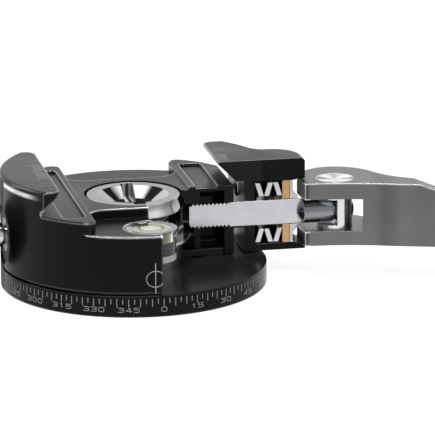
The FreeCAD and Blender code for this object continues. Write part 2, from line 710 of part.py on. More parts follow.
def cut_channel(body):
    """Dovetail flank of the fixed jaw and everything above the ledges."""
    sketch = new_sketch(body, "XZ_Plane")
    outline(
        sketch,
        (-s.lip_x, jaw_top + s.jaw_edge), (-s.lip_x, lip_bottom),
        (-lip_root, lip_bottom - s.dovetail_depth), (-lip_root, s.ledge_top),
        (reach, s.ledge_top), (reach, jaw_top + s.jaw_edge),
    )
    pocket(body, sketch, both=True)
    for side in (1, -1):
        sketch = new_sketch(body, "XY_Plane", s.ledge_top)
        start = s.jaw_half_length * side
        turn_y = start - s.lip_corner * side
        end = reach * side
        outline(
            sketch,
            (-reach, start), (-(s.lip_x + s.lip_corner), start),
            (-s.lip_x, turn_y, s.lip_corner, -side), (0, turn_y), (0, end), (-reach, end),
        )
        pocket(body, sketch, reverse=True)


def chamfer_rim(body, height):
    """Chamfer the turned rim where a flat at that height meets it."""

    def on_rim(edge):
        level = all(near(vertex.Point.z, height) for vertex in edge.Vertexes)
        curved = edge.Curve.TypeId == "Part::GeomCircle"
        return level and curved and near(edge.Curve.Radius, s.base_radius)

    dress(body, "Chamfer", s.rim_chamfer, on_rim)


def cut_floor(body):
    """Floor between the ledges, the two shelves and the ledges' pockets."""
    sketch = new_sketch(body, "XZ_Plane")
    rectangle(sketch, -ledge_inner, deck_top, ledge_inner, jaw_top)
    pocket(body, sketch, both=True)
    for side in (1, -1):
        sketch = new_sketch(body, "XY_Plane", shelf_top)
        near_edge, far_edge = shelf_start * side, reach * side
        left = -ledge_inner
        turn_y = near_edge + s.shelf_corner * side
        outline(
            sketch,
            (left, far_edge), (left, turn_y), (left + s.shelf_corner, near_edge, s.shelf_corner, side),
            (ledge_inner - s.shelf_corner, near_edge), (ledge_inner, turn_y, s.shelf_corner, side),
            (ledge_inner, far_edge),
        )
        pocket(body, sketch, reverse=True)
    chamfer_rim(body, shelf_top)
    corner_y = circle_at(s.base_radius - s.ledge_corner, ledge_inner + s.ledge_corner)
    share = s.base_radius / (s.base_radius - s.ledge_corner)
    rim_x, rim_y = (ledge_inner + s.ledge_corner) * share, corner_y * share
    for side, end in ((1, 1), (1, -1), (-1, 1), (-1, -1)):
        sketch = new_sketch(body, "XY_Plane", shelf_top)
        outline(
            sketch,
            (ledge_inner * side, corner_y * end), (rim_x * side, rim_y * end, s.ledge_corner, -side * end),
            (rim_x * side, reach * end), (ledge_inner * side, reach * end),
        )
        pocket(body, sketch, reverse=True)
    for inner, outer in ((pocket_inner, pocket_outer), (-pocket_outer, -pocket_inner)):
        sketch = new_sketch(body, "XY_Plane", s.ledge_top)
        rounded_rectangle(sketch, inner, -s.pocket_half_length, outer, s.pocket_half_length, s.pocket_corner)
        pocket(body, sketch, s.pocket_depth)
    sketch = new_sketch(body, "XZ_Plane")
    outline(sketch, (ledge_outer, s.ledge_top), (chord_x, chord_top),
            (chord_x, s.ledge_top + s.jaw_edge), (ledge_outer, s.ledge_top + s.jaw_edge))
    pocket(body, sketch, both=True)


def cut_bores(body):
    """Stepped central bore for the centre screw, hub, bearing ring and friction washer."""
    deck_bottom = deck_top - s.deck_bore_depth
    sketch = new_sketch(body, "XZ_Plane")
    outline(
        sketch,
        (0, 0), (s.skirt_radius, 0), (s.skirt_radius, skirt_top), (bearing_radius, skirt_top),
        (bearing_radius, chamber_bottom), (chamber_radius, chamber_bottom),
        (chamber_radius, deck_bottom), (deck_bore, deck_bottom), (deck_bore, jaw_top),
        (0, jaw_top),
    )
    groove(body, sketch)


def cut_drawbar_room(body):
    """Space for the lock nut, the drawbar's hole, the guide hole and the spring pocket."""
    sketch = new_sketch(body, "XY_Plane")
    rectangle(sketch, web_outer, -nut_room_half, s.skirt_radius, nut_room_half)
    pocket(body, sketch, nut_room_ceiling, reverse=True)
    cut_circle(body, "YZ_Plane", 0, 0, s.rod_height, s.rod_radius + s.fit_gap, reach, reverse=True)
    cut_circle(body, "YZ_Plane", guide_start - s.axial_gap, s.guide_y, guide_height,
               s.guide_radius + s.fit_gap, reach, reverse=True)
    cut_circle(body, "YZ_Plane", return_start, s.guide_y, return_height,
               s.return_room, reach, reverse=True)


def cut_level_seat(body):
    """Stepped pocket for the bull's-eye level."""
    cut_circle(body, "XY_Plane", shelf_top, 0, -level_y, level_rim + s.axial_gap,
               s.level_rim_height + s.fit_gap)
    cut_circle(body, "XY_Plane", shelf_top, 0, -level_y, s.level_radius + s.axial_gap,
               s.level_height + s.level_seat + s.fit_gap)


def cut_lock_seat(body):
    """Spot face, bush seat, plunger bore and tip hole of the pan lock."""
    cut_circle(body, "YZ_Plane", -spot_x, 0, knob_height, s.spot_radius, reach)
    cut_circle(body, "YZ_Plane", -spot_x, 0, knob_height, s.lock_bush_radius + s.fit_gap,
               s.lock_bush_length + s.fit_gap, reverse=True)
    cut_circle(body, "YZ_Plane", -bush_end, 0, knob_height, s.shoe_radius + s.running_gap,
               bush_end - shoe_end + s.lock_travel + s.axial_gap, reverse=True)
    cut_circle(body, "YZ_Plane", -shoe_end, 0, knob_height, s.tip_room,
               shoe_end - s.hub_radius, reverse=True)


def build_clamp_body():
    """Turned blank with the fixed jaw, milled from above, bored from below."""
    body = new_body("clamp_body")
    sketch = new_sketch(body, "XZ_Plane")
    outline(
        sketch,
        (0, body_bottom), (s.base_radius - s.rim_chamfer, body_bottom),
        (s.base_radius, body_bottom + s.rim_chamfer), (s.base_radius, jaw_top - s.jaw_edge),
        (s.base_radius - s.jaw_edge, jaw_top, s.jaw_edge, 1), (0, jaw_top),
    )
    revolve(body, sketch)
    sketch = new_sketch(body, "XY_Plane")
    rectangle(sketch, chord_x, -reach, reach, reach)
    pocket(body, sketch, reverse=True)
    cut_channel(body)
    cut_floor(body)
    cut_bores(body)
    cut_drawbar_room(body)
    cut_level_seat(body)
    cut_lock_seat(body)
    chamfer_rim(body, s.ledge_top)
    section_quadrant(body)


# Drawbar and what it carries

def build_drawbar():
    """Rod from the web to the cam pin, sectioned as far as the lever."""
    body = new_body("drawbar")
    place(body, z=s.rod_height)
    shoulder = pin_x - s.pin_flat
    tail = pin_x + s.pin_radius + s.neck_over
    flat = s.rod_radius - s.rod_end_round
    sketch = new_sketch(body, "XZ_Plane")
    outline(
        sketch,
        (rod_start, 0), (tail, 0), (tail - s.neck_radius / 2, s.neck_radius, s.neck_radius * 1.25, 1),
        (shoulder, s.neck_radius), (shoulder, flat),
        (shoulder - s.rod_end_round, s.rod_radius, s.rod_end_round, 1),
        (rod_start + s.rim_chamfer, s.rod_radius), (rod_start, s.rod_radius - s.rim_chamfer),
    )
    revolve(body, sketch, "H_Axis")
    sketch = new_sketch(body, "XY_Plane")
    rectangle(sketch, 0, -reach, rod_section_end, 0)
    pocket(body, sketch, both=True)


def build_lock_nut():
    """Hexagon nut that locks the drawbar in the web."""
    body = new_body("lock_nut")
    place(body, z=s.rod_height)
    start = web_outer + s.fit_gap
    corner = s.nut_flats / (3 ** 0.5)
    sketch = new_sketch(body, "YZ_Plane", start)
    hexagon(sketch, 0, 0, corner)
    extrude(body, sketch, s.nut_height)
    cut_circle(body, "YZ_Plane", start, 0, 0, s.rod_radius + s.fit_gap, s.nut_height, reverse=True)
    section_quadrant(body)


def half_ring(label, *steps):
    """Ring about the drawbar, made as the rear half that the section leaves."""
    body = new_body(label)
    place(body, z=s.rod_height)
    sketch = new_sketch(body, "XZ_Plane")
    outline(sketch, *steps)
    revolve(body, sketch, "H_Axis", 180.0, reverse=True)
    return body


def build_disc_springs():
    """Coned disc springs, stacked in series, rim to rim and bore to bore."""
    for index in range(int(s.disc_count.value)):
        start = stack_start + disc_step * index
        inner_lift, outer_lift = (s.disc_cone, as_size(0)) if index % 2 == 0 else (as_size(0), s.disc_cone)
        half_ring(
            f"disc_spring_{index + 1}",
            (start + inner_lift, s.disc_inner), (start + inner_lift + s.disc_thickness, s.disc_inner),
            (start + outer_lift + s.disc_thickness, disc_outer), (start + outer_lift, disc_outer),
        )


def build_washers():
    """Brass spring washer, and the steel cam washer with its cone."""
    half_ring("spring_washer", (brass_start, washer_bore), (brass_start + s.brass_height, washer_bore),
              (brass_start + s.brass_height, s.brass_outer), (brass_start, s.brass_outer))
    plate = saddle_start + s.saddle_height
    half_ring("cam_washer", (saddle_start, washer_bore), (plate + s.saddle_cone, washer_bore),
              (plate + s.saddle_cone, s.saddle_cone_tip), (plate, s.saddle_cone_base),
              (plate, s.brass_outer), (saddle_start, s.brass_outer))


# Moving jaw

def build_moving_jaw():
    """Jaw with its dovetail lip and spring boss, cut in half along the drawbar."""
    back = s.jaw_travel
    corner_y = s.moving_half_length
    end_x = back + circle_at(s.base_radius, corner_y)
    across = s.boss_half + s.boss_blend
    along = circle_at(s.base_radius + s.boss_blend, across)
    share = s.base_radius / (s.base_radius + s.boss_blend)
    blend_x = back + along
    round_x = back + along * share
    round_y = across * share
    turn_x = blend_x + s.boss_side
    boss_round = boss_end - turn_x
    turn_y = s.boss_half - boss_round
    lip = s.lip_corner
    body = new_body("moving_jaw")
    sketch = new_sketch(body, "XY_Plane", jaw_bottom)
    outline(
        sketch,
        (s.lip_x, lip - corner_y), (s.lip_x + lip, -corner_y, lip, 1), (end_x, -corner_y),
        (round_x, -round_y, s.base_radius, 1), (blend_x, -s.boss_half, s.boss_blend, -1),
        (turn_x, -s.boss_half), (boss_end, -turn_y, boss_round, 1),
        (boss_end, turn_y), (turn_x, s.boss_half, boss_round, 1),
        (blend_x, s.boss_half), (round_x, round_y, s.boss_blend, -1),
        (end_x, corner_y, s.base_radius, 1), (s.lip_x + lip, corner_y),
        (s.lip_x, corner_y - lip, lip, 1),
    )
    extrude(body, sketch, jaw_top - jaw_bottom)
    flank_bottom = lip_bottom - s.dovetail_depth
    sketch = new_sketch(body, "XZ_Plane")
    outline(
        sketch,
        (0, 0), (jaw_face, 0), (jaw_face, flank_bottom), (lip_root, flank_bottom),
        (s.lip_x, lip_bottom), (0, lip_bottom),
    )
    pocket(body, sketch, both=True)

    def outer_top(edge):
        ends = [vertex.Point for vertex in edge.Vertexes]
        return all(near(p.z, jaw_top) and p.x > end_x.value - 1e-4 for p in ends)

    dress(body, "Fillet", s.jaw_edge, outer_top)
    cut_circle(body, "YZ_Plane", wall_end, 0, s.rod_height, spring_bore, reach, reverse=True)
    cut_circle(body, "YZ_Plane", 0, 0, s.rod_height, s.rod_radius + s.running_gap, reach, reverse=True)
    sketch = new_sketch(body, "XZ_Plane")
    rectangle(sketch, mouth_start, s.rod_height - mouth_half, reach, s.rod_height + mouth_half)
    pocket(body, sketch, both=True)
    cut_circle(body, "YZ_Plane", 0, s.guide_y, guide_height, s.guide_radius + s.running_gap,
               guide_hole_end, reverse=True)
    cut_circle(body, "YZ_Plane", 0, s.guide_y, return_height, s.return_room, return_end, reverse=True)
    section_quadrant(body)


def build_guide():
    """Guide pin that keeps the jaw square, and the spring that opens it."""
    pin = new_body("guide_pin")
    sketch = new_sketch(pin, "YZ_Plane", guide_start)
    circle(sketch, s.guide_y, guide_height, s.guide_radius)
    extrude(pin, sketch, guide_end - guide_start)
    tip = dress(pin, "Chamfer", s.rim_chamfer, lambda edge: all(near(v.X, guide_end) for v in edge.Vertexes))
    pin.Tip = tip
    spring = new_body("return_spring")
    place(spring, x=return_start, y=s.guide_y, z=return_height)
    sketch = new_sketch(spring, "XZ_Plane")
    end_room = s.return_wire + s.axial_gap
    rectangle(sketch, s.axial_gap, s.return_radius - s.return_wire * 2,
              s.axial_gap + s.return_wire * 2, s.return_radius)
    length = return_end - return_start - end_room * 2
    coil = spring.newObject("PartDesign::AdditiveHelix", "return_spring_coil")
    coil.Profile = sketch
    coil.ReferenceAxis = (sketch, ["H_Axis"])
    coil.Mode = "height-turns-growth"
    coil.Height = length.value
    coil.setExpression("Height", length.text)
    coil.Turns = s.return_turns.value
    coil.setExpression("Turns", s.return_turns.text)
    coil.Growth = 0
    finish(spring, coil, grows=True)


# Cam pin and lever

def build_cam_pin():
    """Pin that the lever turns on, slotted for the drawbar, with a groove for its clip."""
    clip_top = s.pin_clip_room - s.lever_half
    groove_top = clip_top - s.axial_gap
    groove_bottom = groove_top - s.pin_clip_height
    core = s.pin_stem - s.pin_clip_depth
    body = new_body("cam_pin")
    place(body, x=pin_x, z=s.rod_height)
    sketch = new_sketch(body, "XZ_Plane")
    outline(
        sketch,
        (0, -s.lever_half + s.fit_gap), (core, -s.lever_half + s.fit_gap),
        (s.pin_stem, s.pin_clip_depth - s.lever_half + s.fit_gap), (s.pin_stem, groove_bottom),
        (core, groove_bottom), (core, groove_top), (s.pin_stem, groove_top),
        (s.pin_stem, pin_shoulder + s.fit_gap), (s.pin_radius, pin_shoulder + s.fit_gap),
        (s.pin_radius, s.lever_half), (0, s.lever_half - s.pin_dimple),
    )
    revolve(body, sketch)
    sketch = new_sketch(body, "XZ_Plane")
    rectangle(sketch, -reach, -pin_slot_half, -s.pin_flat + s.fit_gap, pin_slot_half)
    pocket(body, sketch, both=True)
    cut_circle(body, "YZ_Plane", 0, 0, 0, s.neck_radius + s.fit_gap, both=True)
    clip = new_body("cam_pin_clip")
    place(clip, x=pin_x, z=s.rod_height)
    sketch = new_sketch(clip, "XZ_Plane")
    outline(sketch, *ring_steps(core + s.fit_gap, groove_bottom + s.fit_gap,
                                pin_clip_outer, groove_top - s.fit_gap))
    revolve(clip, sketch)
    sketch = new_sketch(clip, "XY_Plane")
    rectangle(sketch, -reach, -core / 2, 0, core / 2)
    pocket(clip, sketch, both=True)


def lever_outline(sketch):
    """Plan of the lever about its pivot: eccentric cam, round lobe, waist and swept arm."""
    mean_cam = (s.cam_open + lobe_radius) / 2
    tip_front_x = s.arm_length - s.arm_width / 4
    tip_front_y = s.arm_sweep + s.arm_width
    outline(
        sketch,
        (-s.cam_open, -s.cam_corner_y / 4), (-s.cam_open, 0),
        (0, lobe_radius, mean_cam, -1), (s.lobe_angle_x, s.lobe_angle_y, lobe_radius, -1),
        (s.waist_x, -s.waist_y, s.waist_radius, 1), (s.arm_length, -s.arm_sweep, s.arm_radius, 1),
        (tip_front_x, -tip_front_y, s.tip_radius, -1),
        (s.front_hollow_x, -s.front_hollow_y),
        (-s.cam_corner_x, -s.cam_corner_y, s.front_radius, 1),
    )


def build_lever():
    """Cam lever: slotted head, eccentric cam and a handle whose top falls away."""
    body = new_body("cam_lever")
    place(body, x=pin_x, z=s.rod_height)
    sketch = new_sketch(body, "XY_Plane")
    lever_outline(sketch)
    extrude(body, sketch, s.lever_half * 2, both=True)
    lower = s.lever_half - s.taper_drop
    run = s.taper_end - s.taper_start
    slope = root(run * run + s.taper_drop * s.taper_drop)
    tangent = s.taper_radius * s.taper_drop / (slope + run)
    along = tangent * run / slope
    down = tangent * s.taper_drop / slope
    sketch = new_sketch(body, "XZ_Plane")
    outline(
        sketch,
        (s.taper_start - tangent, s.lever_half + s.rim_chamfer), (s.taper_start - tangent, s.lever_half),
        (s.taper_start + along, s.lever_half - down, s.taper_radius, -1),
        (s.taper_end - along, lower + down), (s.taper_end + tangent, lower, s.taper_radius, 1),
        (reach, lower), (reach, s.lever_half + s.rim_chamfer),
    )
    pocket(body, sketch, both=True)
    slot_front = s.pin_radius + s.slot_back
    sketch = new_sketch(body, "XY_Plane", slot_bottom)
    outline(
        sketch,
        (-reach, -s.front_hollow_y), (slot_front, -s.front_hollow_y),
        (slot_front + s.slot_slant, lobe_radius), (-reach, lobe_radius),
    )
    pocket(body, sketch, slot_half - slot_bottom, reverse=True)
    cut_circle(body, "XY_Plane", 0, 0, 0, s.pin_stem + s.running_gap, both=True)
    cut_circle(body, "XY_Plane", pin_shoulder, 0, 0, s.pin_radius + s.running_gap, reverse=True)
    cut_circle(body, "XY_Plane", -s.lever_half, 0, 0, pin_clip_outer + s.axial_gap * 2,
               s.pin_clip_room, reverse=True)


# Bull's-eye level

def build_level():
    """Vial with its rim, the fluid, the bubble and the ring under the vial."""
    window_bottom = shelf_top - s.level_window
    fluid_bottom = window_bottom - s.fluid_height
    rim_bottom = shelf_top - s.level_rim_height
    fluid = s.fluid_radius - s.fit_gap
    vial = turned(
        "level_vial",
        (0, level_bottom), (s.level_radius, level_bottom), (s.level_radius, rim_bottom),
        (level_rim, rim_bottom), (level_rim, shelf_top), (0, shelf_top),
        (0, window_bottom), (s.fluid_radius, window_bottom), (s.fluid_radius, fluid_bottom),
        (0, fluid_bottom),
    )
    bubble_bottom = window_bottom - s.fit_gap - s.bubble_height
    bubble_room = s.bubble_radius + s.fit_gap
    level_fluid = turned(
        "level_fluid",
        (0, fluid_bottom + s.fit_gap), (fluid, fluid_bottom + s.fit_gap), (fluid, window_bottom - s.fit_gap),
        (bubble_room, window_bottom - s.fit_gap),
        (bubble_room - s.bubble_height, bubble_bottom - s.fit_gap), (0, bubble_bottom - s.fit_gap),
    )
    bubble = turned(
        "level_bubble",
        (0, bubble_bottom), (s.bubble_radius - s.bubble_height, bubble_bottom),
        (s.bubble_radius, window_bottom - s.fit_gap * 2), (0, window_bottom - s.fit_gap * 2),
    )
    seat = turned("level_seat", *ring_steps(s.fluid_radius, seat_bottom,
                                            s.level_radius, level_bottom - s.fit_gap))
    for body in (vial, level_fluid, bubble, seat):
        place(body, y=-level_y)


# Pan lock

def lock_body(label):
    """Body with its own X axis on the pan lock's axis."""
    body = new_body(label)
    place(body, z=knob_height)
    return body


def turned_lock(label, *steps):
    """Part of the pan lock, turned about its axis."""
    body = lock_body(label)
    sketch = new_sketch(body, "XZ_Plane")
    outline(sketch, *steps)
    revolve(body, sketch, "H_Axis")
    return body


def build_pan_lock():
    """Knob, screw and cap that turn together, the bush they run in, and the plunger."""
    turned_lock("lock_bush", (-spot_x, s.lock_thread + s.running_gap),
                (-bush_end, s.lock_thread + s.running_gap), (-bush_end, s.lock_bush_radius),
                (-spot_x, s.lock_bush_radius))
    shoulder = spot_x + s.stem_gap
    knob_face = spot_x + s.knob_gap
    stem_end = knob_face + s.stem_grip
    screw_end = bush_end + s.axial_gap
    turned_lock(
        "lock_screw",
        (-stem_end, 0), (-screw_end, 0), (-screw_end, s.lock_thread - s.rim_chamfer),
        (-(screw_end + s.rim_chamfer), s.lock_thread), (-shoulder, s.lock_thread),
        (-shoulder, s.lock_stem), (-stem_end, s.lock_stem),
    )
    knob_end = knob_face + s.knob_length
    edge = s.knob_radius - s.knob_edge
    cap_seat = s.cap_radius + s.fit_gap
    cap_floor = knob_end - s.cap_height
    knob = turned_lock(
        "lock_knob",
        (-knob_end, cap_seat), (-knob_end, edge), (-(knob_end - s.knob_edge), s.knob_radius),
        (-(knob_face + s.knob_edge), s.knob_radius), (-knob_face, edge),
        (-knob_face, s.lock_stem + s.fit_gap), (-(stem_end + s.fit_gap), s.lock_stem + s.fit_gap),
        (-(stem_end + s.fit_gap), 0), (-(cap_floor - s.fit_gap), 0), (-(cap_floor - s.fit_gap), cap_seat),
    )
    finger = cut_circle(knob, "YZ_Plane", 0, 0, s.knob_radius + s.knob_groove / 2, s.knob_groove, both=True)
    around(knob, finger, s.knob_lobes, "X_Axis")
    turned_lock("lock_cap", (-knob_end, 0), (-cap_floor, 0), (-cap_floor, s.cap_radius),
                (-(knob_end - s.rim_chamfer), s.cap_radius), (-knob_end, s.cap_radius - s.rim_chamfer))
    tip_end = s.hub_radius + s.shoe_gap
    shoe_start = bush_end - s.fit_gap
    shoe_step = shoe_end + s.lock_travel
    turned_lock(
        "brake_plunger",
        (-shoe_start, 0), (-tip_end, 0), (-tip_end, s.tip_pin_radius), (-shoe_step, s.tip_pin_radius),
        (-shoe_step, s.shoe_radius), (-shoe_start, s.shoe_radius),
    )


def check_model():
    """Stop if any object failed, or if a sub-part has no valid solid."""
    doc.recompute()
    for thing in doc.Objects:
        if {"Invalid", "Error"} & set(thing.State):
            raise RuntimeError(f"{thing.Label} failed: {thing.State}")
    for node in nodes:
        if node.Shape.isNull() or not node.Shape.isValid() or not node.Shape.Solids:
            raise RuntimeError(f"{node.Label} has no valid shape")


build_base_disc()
build_hub_post()
build_hub_screws()
build_tripod_bush()
build_centre_screw()
build_pan_bearing()
build_clamp_body()
build_drawbar()
build_lock_nut()
build_disc_springs()
build_washers()
build_moving_jaw()
build_guide()
build_cam_pin()
build_lever()
build_level()
build_pan_lock()
check_model()

os.makedirs("parts", exist_ok=True)
for node in nodes:
    node.Shape.exportStep(os.path.join("parts", f"{node.Label}.step"))
    print(f"{node.Label}: {len(node.Shape.Solids)} solid, {node.Shape.Volume:.1f} mm3")
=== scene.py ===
import math

import bpy
from mathutils import Matrix, Vector


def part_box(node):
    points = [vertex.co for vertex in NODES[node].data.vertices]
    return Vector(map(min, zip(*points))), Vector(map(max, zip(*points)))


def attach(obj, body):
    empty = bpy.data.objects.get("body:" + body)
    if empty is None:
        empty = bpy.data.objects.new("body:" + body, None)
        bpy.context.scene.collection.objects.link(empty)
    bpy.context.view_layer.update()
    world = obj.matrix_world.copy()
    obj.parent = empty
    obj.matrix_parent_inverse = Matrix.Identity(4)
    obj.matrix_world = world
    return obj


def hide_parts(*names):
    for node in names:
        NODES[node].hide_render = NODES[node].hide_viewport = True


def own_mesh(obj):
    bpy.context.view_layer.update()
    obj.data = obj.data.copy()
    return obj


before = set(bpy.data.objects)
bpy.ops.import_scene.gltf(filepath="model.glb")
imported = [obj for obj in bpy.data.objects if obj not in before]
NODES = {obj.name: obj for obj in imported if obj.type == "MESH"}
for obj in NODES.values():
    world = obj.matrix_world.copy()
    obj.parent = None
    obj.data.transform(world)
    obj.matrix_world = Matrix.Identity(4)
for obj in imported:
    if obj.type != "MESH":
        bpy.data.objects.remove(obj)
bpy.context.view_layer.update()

# Sizes are in millimetres, unless a comment says otherwise. MM turns them into Blender's metres.
MM = 0.001


def corners(node):
    """The low and the high corner of a node's box."""
    return [[value / MM for value in corner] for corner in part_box(node)]


def middle(node, axis):
    """The middle of a node's box along one axis, 0 to 2."""
    low, high = corners(node)
    return (low[axis] + high[axis]) / 2


# What the frame gives. The marks lie a hair proud of the faces that carry them.
RIM_RADIUS = corners("base_disc")[1][0]
BODY_TOP = corners("clamp_body")[1][2]
SHELF_TOP = corners("level_vial")[1][2]
LEVER_TOP = corners("cam_lever")[1][2]
LEVER_PIVOT = middle("cam_pin", 0)
RIM_MARK_LIFT = 0.003
TOP_MARK_LIFT = 0.002
CUT_X = 1.0  # the front right quarter is sawn off at this x and at y 0

# The centre screw. Its recess is as wide as the photograph shows it.
SCREW_FOOT = corners("centre_screw")[0][2]
SCREW_TOP = corners("centre_screw")[1][2]
DECK_TOP = SCREW_TOP + 0.15
HEAD_RADIUS = corners("centre_screw")[1][0]
HEAD_FOOT = 15.0
SHANK_RADIUS = 7.5
RECESS_RADIUS, RECESS_DEPTH = 7.03, 2.0
BORE_RADIUS, BORE_LIP = 4.1, 0.03
SLOT_HALF = 1.2
SLOT_NEAR, SLOT_FAR = 2.6, 8.4
SLOT_FLOOR = 15.3


# ---------------------------------------------------------------- node helpers
class Graph:
    """The node tree of a new material or world, with short calls for the nodes used here."""

    def __init__(self, owner):
        self.owner = owner
        owner.use_nodes = True
        self.tree = owner.node_tree
        self.tree.nodes.clear()

    def fill(self, socket, value):
        """Feeds a socket from another one, or sets it to a number, vector or colour; None leaves it alone."""
        if isinstance(value, bpy.types.NodeSocket):
            self.tree.links.new(value, socket)
        elif value is not None:
            socket.default_value = (*value, 1) if socket.type == "RGBA" else value

    def node(self, kind, inputs=None, **settings):
        made = self.tree.nodes.new(kind)
        for key, value in settings.items():
            setattr(made, key, value)
        for key, value in (inputs or {}).items():
            self.fill(made.inputs[key], value)
        return made

    def place(self):
        return self.node("ShaderNodeTexCoord").outputs["Object"]

    def split(self, vector):
        return self.node("ShaderNodeSeparateXYZ", {0: vector}).outputs

    def where(self, centre=None):
        """X, Y and Z of the shaded point, in metres, from the origin or from a centre in millimetres."""
        place = self.place()
        if centre:
            shift = tuple(value * MM for value in centre)
            place = self.node("ShaderNodeVectorMath", {0: place, 1: shift}, operation="SUBTRACT").outputs[0]
        return self.split(place)

    def facing(self):
        """X, Y and Z of the face's own normal."""
        return self.split(self.node("ShaderNodeNewGeometry").outputs["True Normal"])

    def math(self, operation, first, second=None, clamp=False):
        inputs = {0: first, 1: second}
        return self.node("ShaderNodeMath", inputs, operation=operation, use_clamp=clamp).outputs[0]

    def add(self, first, second, clamp=False):
        return self.math("ADD", first, second, clamp)

    def times(self, first, *others):
        """The product of all the values: of masks, where they all hold."""
        for value in others:
            first = self.math("MULTIPLY", first, value)
        return first

    def either(self, first, *others):
        """The largest of the values: of masks, where any holds."""
        for value in others:
            first = self.math("MAXIMUM", first, value)
        return first

    def rest(self, mask):
        """1 where the mask is 0."""
        return self.math("SUBTRACT", 1, mask)

    def less(self, value, limit):
        return self.math("LESS_THAN", value, limit)

    def more(self, value, limit):
        return self.math("GREATER_THAN", value, limit)

    def near(self, value, place, reach):
        """1 where the value lies within reach of a place."""
        return self.less(self.math("ABSOLUTE", self.math("SUBTRACT", value, place)), reach)

    def radius(self, first, second):
        return self.math("SQRT", self.add(self.times(first, first), self.times(second, second)))

    def turn(self, where):
        """The angle about Z from +Y towards +X, with a half turn either way as 0 to 1."""
        return self.add(self.math("DIVIDE", self.math("ARCTAN2", where["X"], where["Y"]), 2 * math.pi), 0.5)

    def span(self, value, low, high, bottom=0.0, top=1.0, shape="SMOOTHSTEP"):
        """bottom where the value is low, top where it is high, and a step of the given shape between."""
        ends = {"Value": value, "From Min": low, "From Max": high, "To Min": bottom, "To Max": top}
        return self.node("ShaderNodeMapRange", ends, interpolation_type=shape).outputs[0]

    def ramp(self, factor, stops):
        """Colours along a factor of 0 to 1, from stops of (position, colour or grey)."""
        made = self.node("ShaderNodeValToRGB", {0: factor})
        points = made.color_ramp.elements
        points[0].position, points[1].position = stops[0][0], stops[-1][0]
        for position, _ in stops[1:-1]:
            points.new(position)
        for point, (_, colour) in zip(points, stops):
            point.color = (*colour, 1) if isinstance(colour, tuple) else (*grey(colour), 1)
        return made.outputs[0]

    def noise(self, scale, detail, roughness=0.5, stretch=None):
        place = self.place()
        if stretch:
            place = self.node("ShaderNodeMapping", {"Vector": place, "Scale": stretch}).outputs[0]
        inputs = {"Vector": place, "Scale": scale, "Detail": detail, "Roughness": roughness}
        return self.node("ShaderNodeTexNoise", inputs).outputs["Fac"]

    def relief(self, height, strength, depth, rounding):
        """A normal with fine relief, on edges that look rounded."""
        rounded = self.node("ShaderNodeBevel", {"Radius": rounding * MM}, samples=6).outputs[0]
        inputs = {"Strength": strength, "Distance": depth * MM, "Height": height, "Normal": rounded}
        return self.node("ShaderNodeBump", inputs).outputs[0]

    def edge(self, width, start, end):
        """1 on an outer edge, 0 on a face or in a corner: rays sent into the solid come out soon there."""
        inside = self.node("ShaderNodeAmbientOcclusion", {"Distance": width * MM},
                           samples=8, inside=True, only_local=True)
        return self.span(inside.outputs["AO"], start, end, shape="LINEAR")

    def mix(self, factor, first, second, blend="MIX"):
        """Two colours mixed; each may be a value or a socket."""
        inputs = {"Factor": factor, "A": first, "B": second}
        return self.node("ShaderNodeMix", inputs, data_type="RGBA", blend_type=blend).outputs["Result"]

    def tangent(self, axis):
        return self.node("ShaderNodeTangent", direction_type="RADIAL", axis=axis).outputs[0]

    def finish(self, surface, output="ShaderNodeOutputMaterial"):
        self.node(output, {"Surface": surface})
        return self.owner

    def principled(self, colour, roughness, metallic, normal=None, **more):
        """The finished material; more names further sockets, with _ in place of each space."""
        inputs = {"Base Color": colour, "Roughness": roughness, "Metallic": metallic, "Normal": normal}
        inputs.update((key.replace("_", " "), value) for key, value in more.items())
        return self.finish(self.node("ShaderNodeBsdfPrincipled", inputs).outputs[0])


def material(name):
    return Graph(bpy.data.materials.new(name))


def grey(value):
    return (value, value, value)


def scaled(colour, share):
    return tuple(channel * share for channel in colour)


def sd(value):
    """A display value of 0 to 255 as a linear one."""
    value /= 255
    return value / 12.92 if value <= 0.04045 else ((value + 0.055) / 1.055) ** 2.4


def rgb(r, g, b):
    return (sd(r), sd(g), sd(b))


def star(stops):
    """Stops of (degrees from +Y towards +X, display value) as a ramp's, over the whole turn."""
    return [(degrees / 360 + 0.5, sd(value)) for degrees, value in stops]


# ------------------------------------------------------------- anodised aluminium
SAWN_COLOUR = rgb(34, 34, 34)
# Painted shade: the pan lock's seat is made almost black.
LOCK_SEAT_PAINTED_SHADE = 0.006
# Painted highlight: the bright grey of the fixed jaw's front left edge and of the front lips of the shelf and
# deck.
PAINTED_HIGHLIGHT_GREY = 0.8
ANODISED_ROUNDING = 0.2
RUBBED_WIDTH = 0.44
WELL_RADIUS = 10.3  # the edges round the screw, within this, aren't handled
LOCK_SIDE_X = -23.5  # nor are those past this
LOCK_SEAT_X = -22.5
SHELF_FRONT_Y, DECK_FRONT_Y = -14, -9
# Painted shade: past this radius the outer wall is darkened towards black by the share below.
OUTER_WALL_RADIUS = 26.2
OUTER_WALL_PAINTED_SHADE = 0.6


def sawn_faces(g, where, facing):
    """1 on the two faces that the quarter was sawn off at."""
    reach, square = 0.12 * MM, 0.98
    front = g.times(g.near(where["Y"], 0, reach), g.less(facing["Y"], -square))
    side = g.times(g.near(where["X"], CUT_X * MM, reach), g.more(facing["X"], square))
    return g.either(front, side)


def handled_edges(g, where, radius, sawn):
    """1 on the edges that handling rubs: not round the screw, by the pan lock or on the sawn faces.

    Beside the cut, below the shelf, an edge is only a little rubbed.
    """
    margin, kept_dark = 0.6, 0.8
    beside_cut = g.times(g.near(where["X"], CUT_X * MM, margin * MM),
                         g.less(where["Z"], (SHELF_TOP - margin) * MM))
    return g.times(g.edge(RUBBED_WIDTH, 0.92, 0.66), g.rest(sawn), g.more(radius, WELL_RADIUS * MM),
                   g.more(where["X"], LOCK_SIDE_X * MM), g.rest(g.times(beside_cut, kept_dark)))


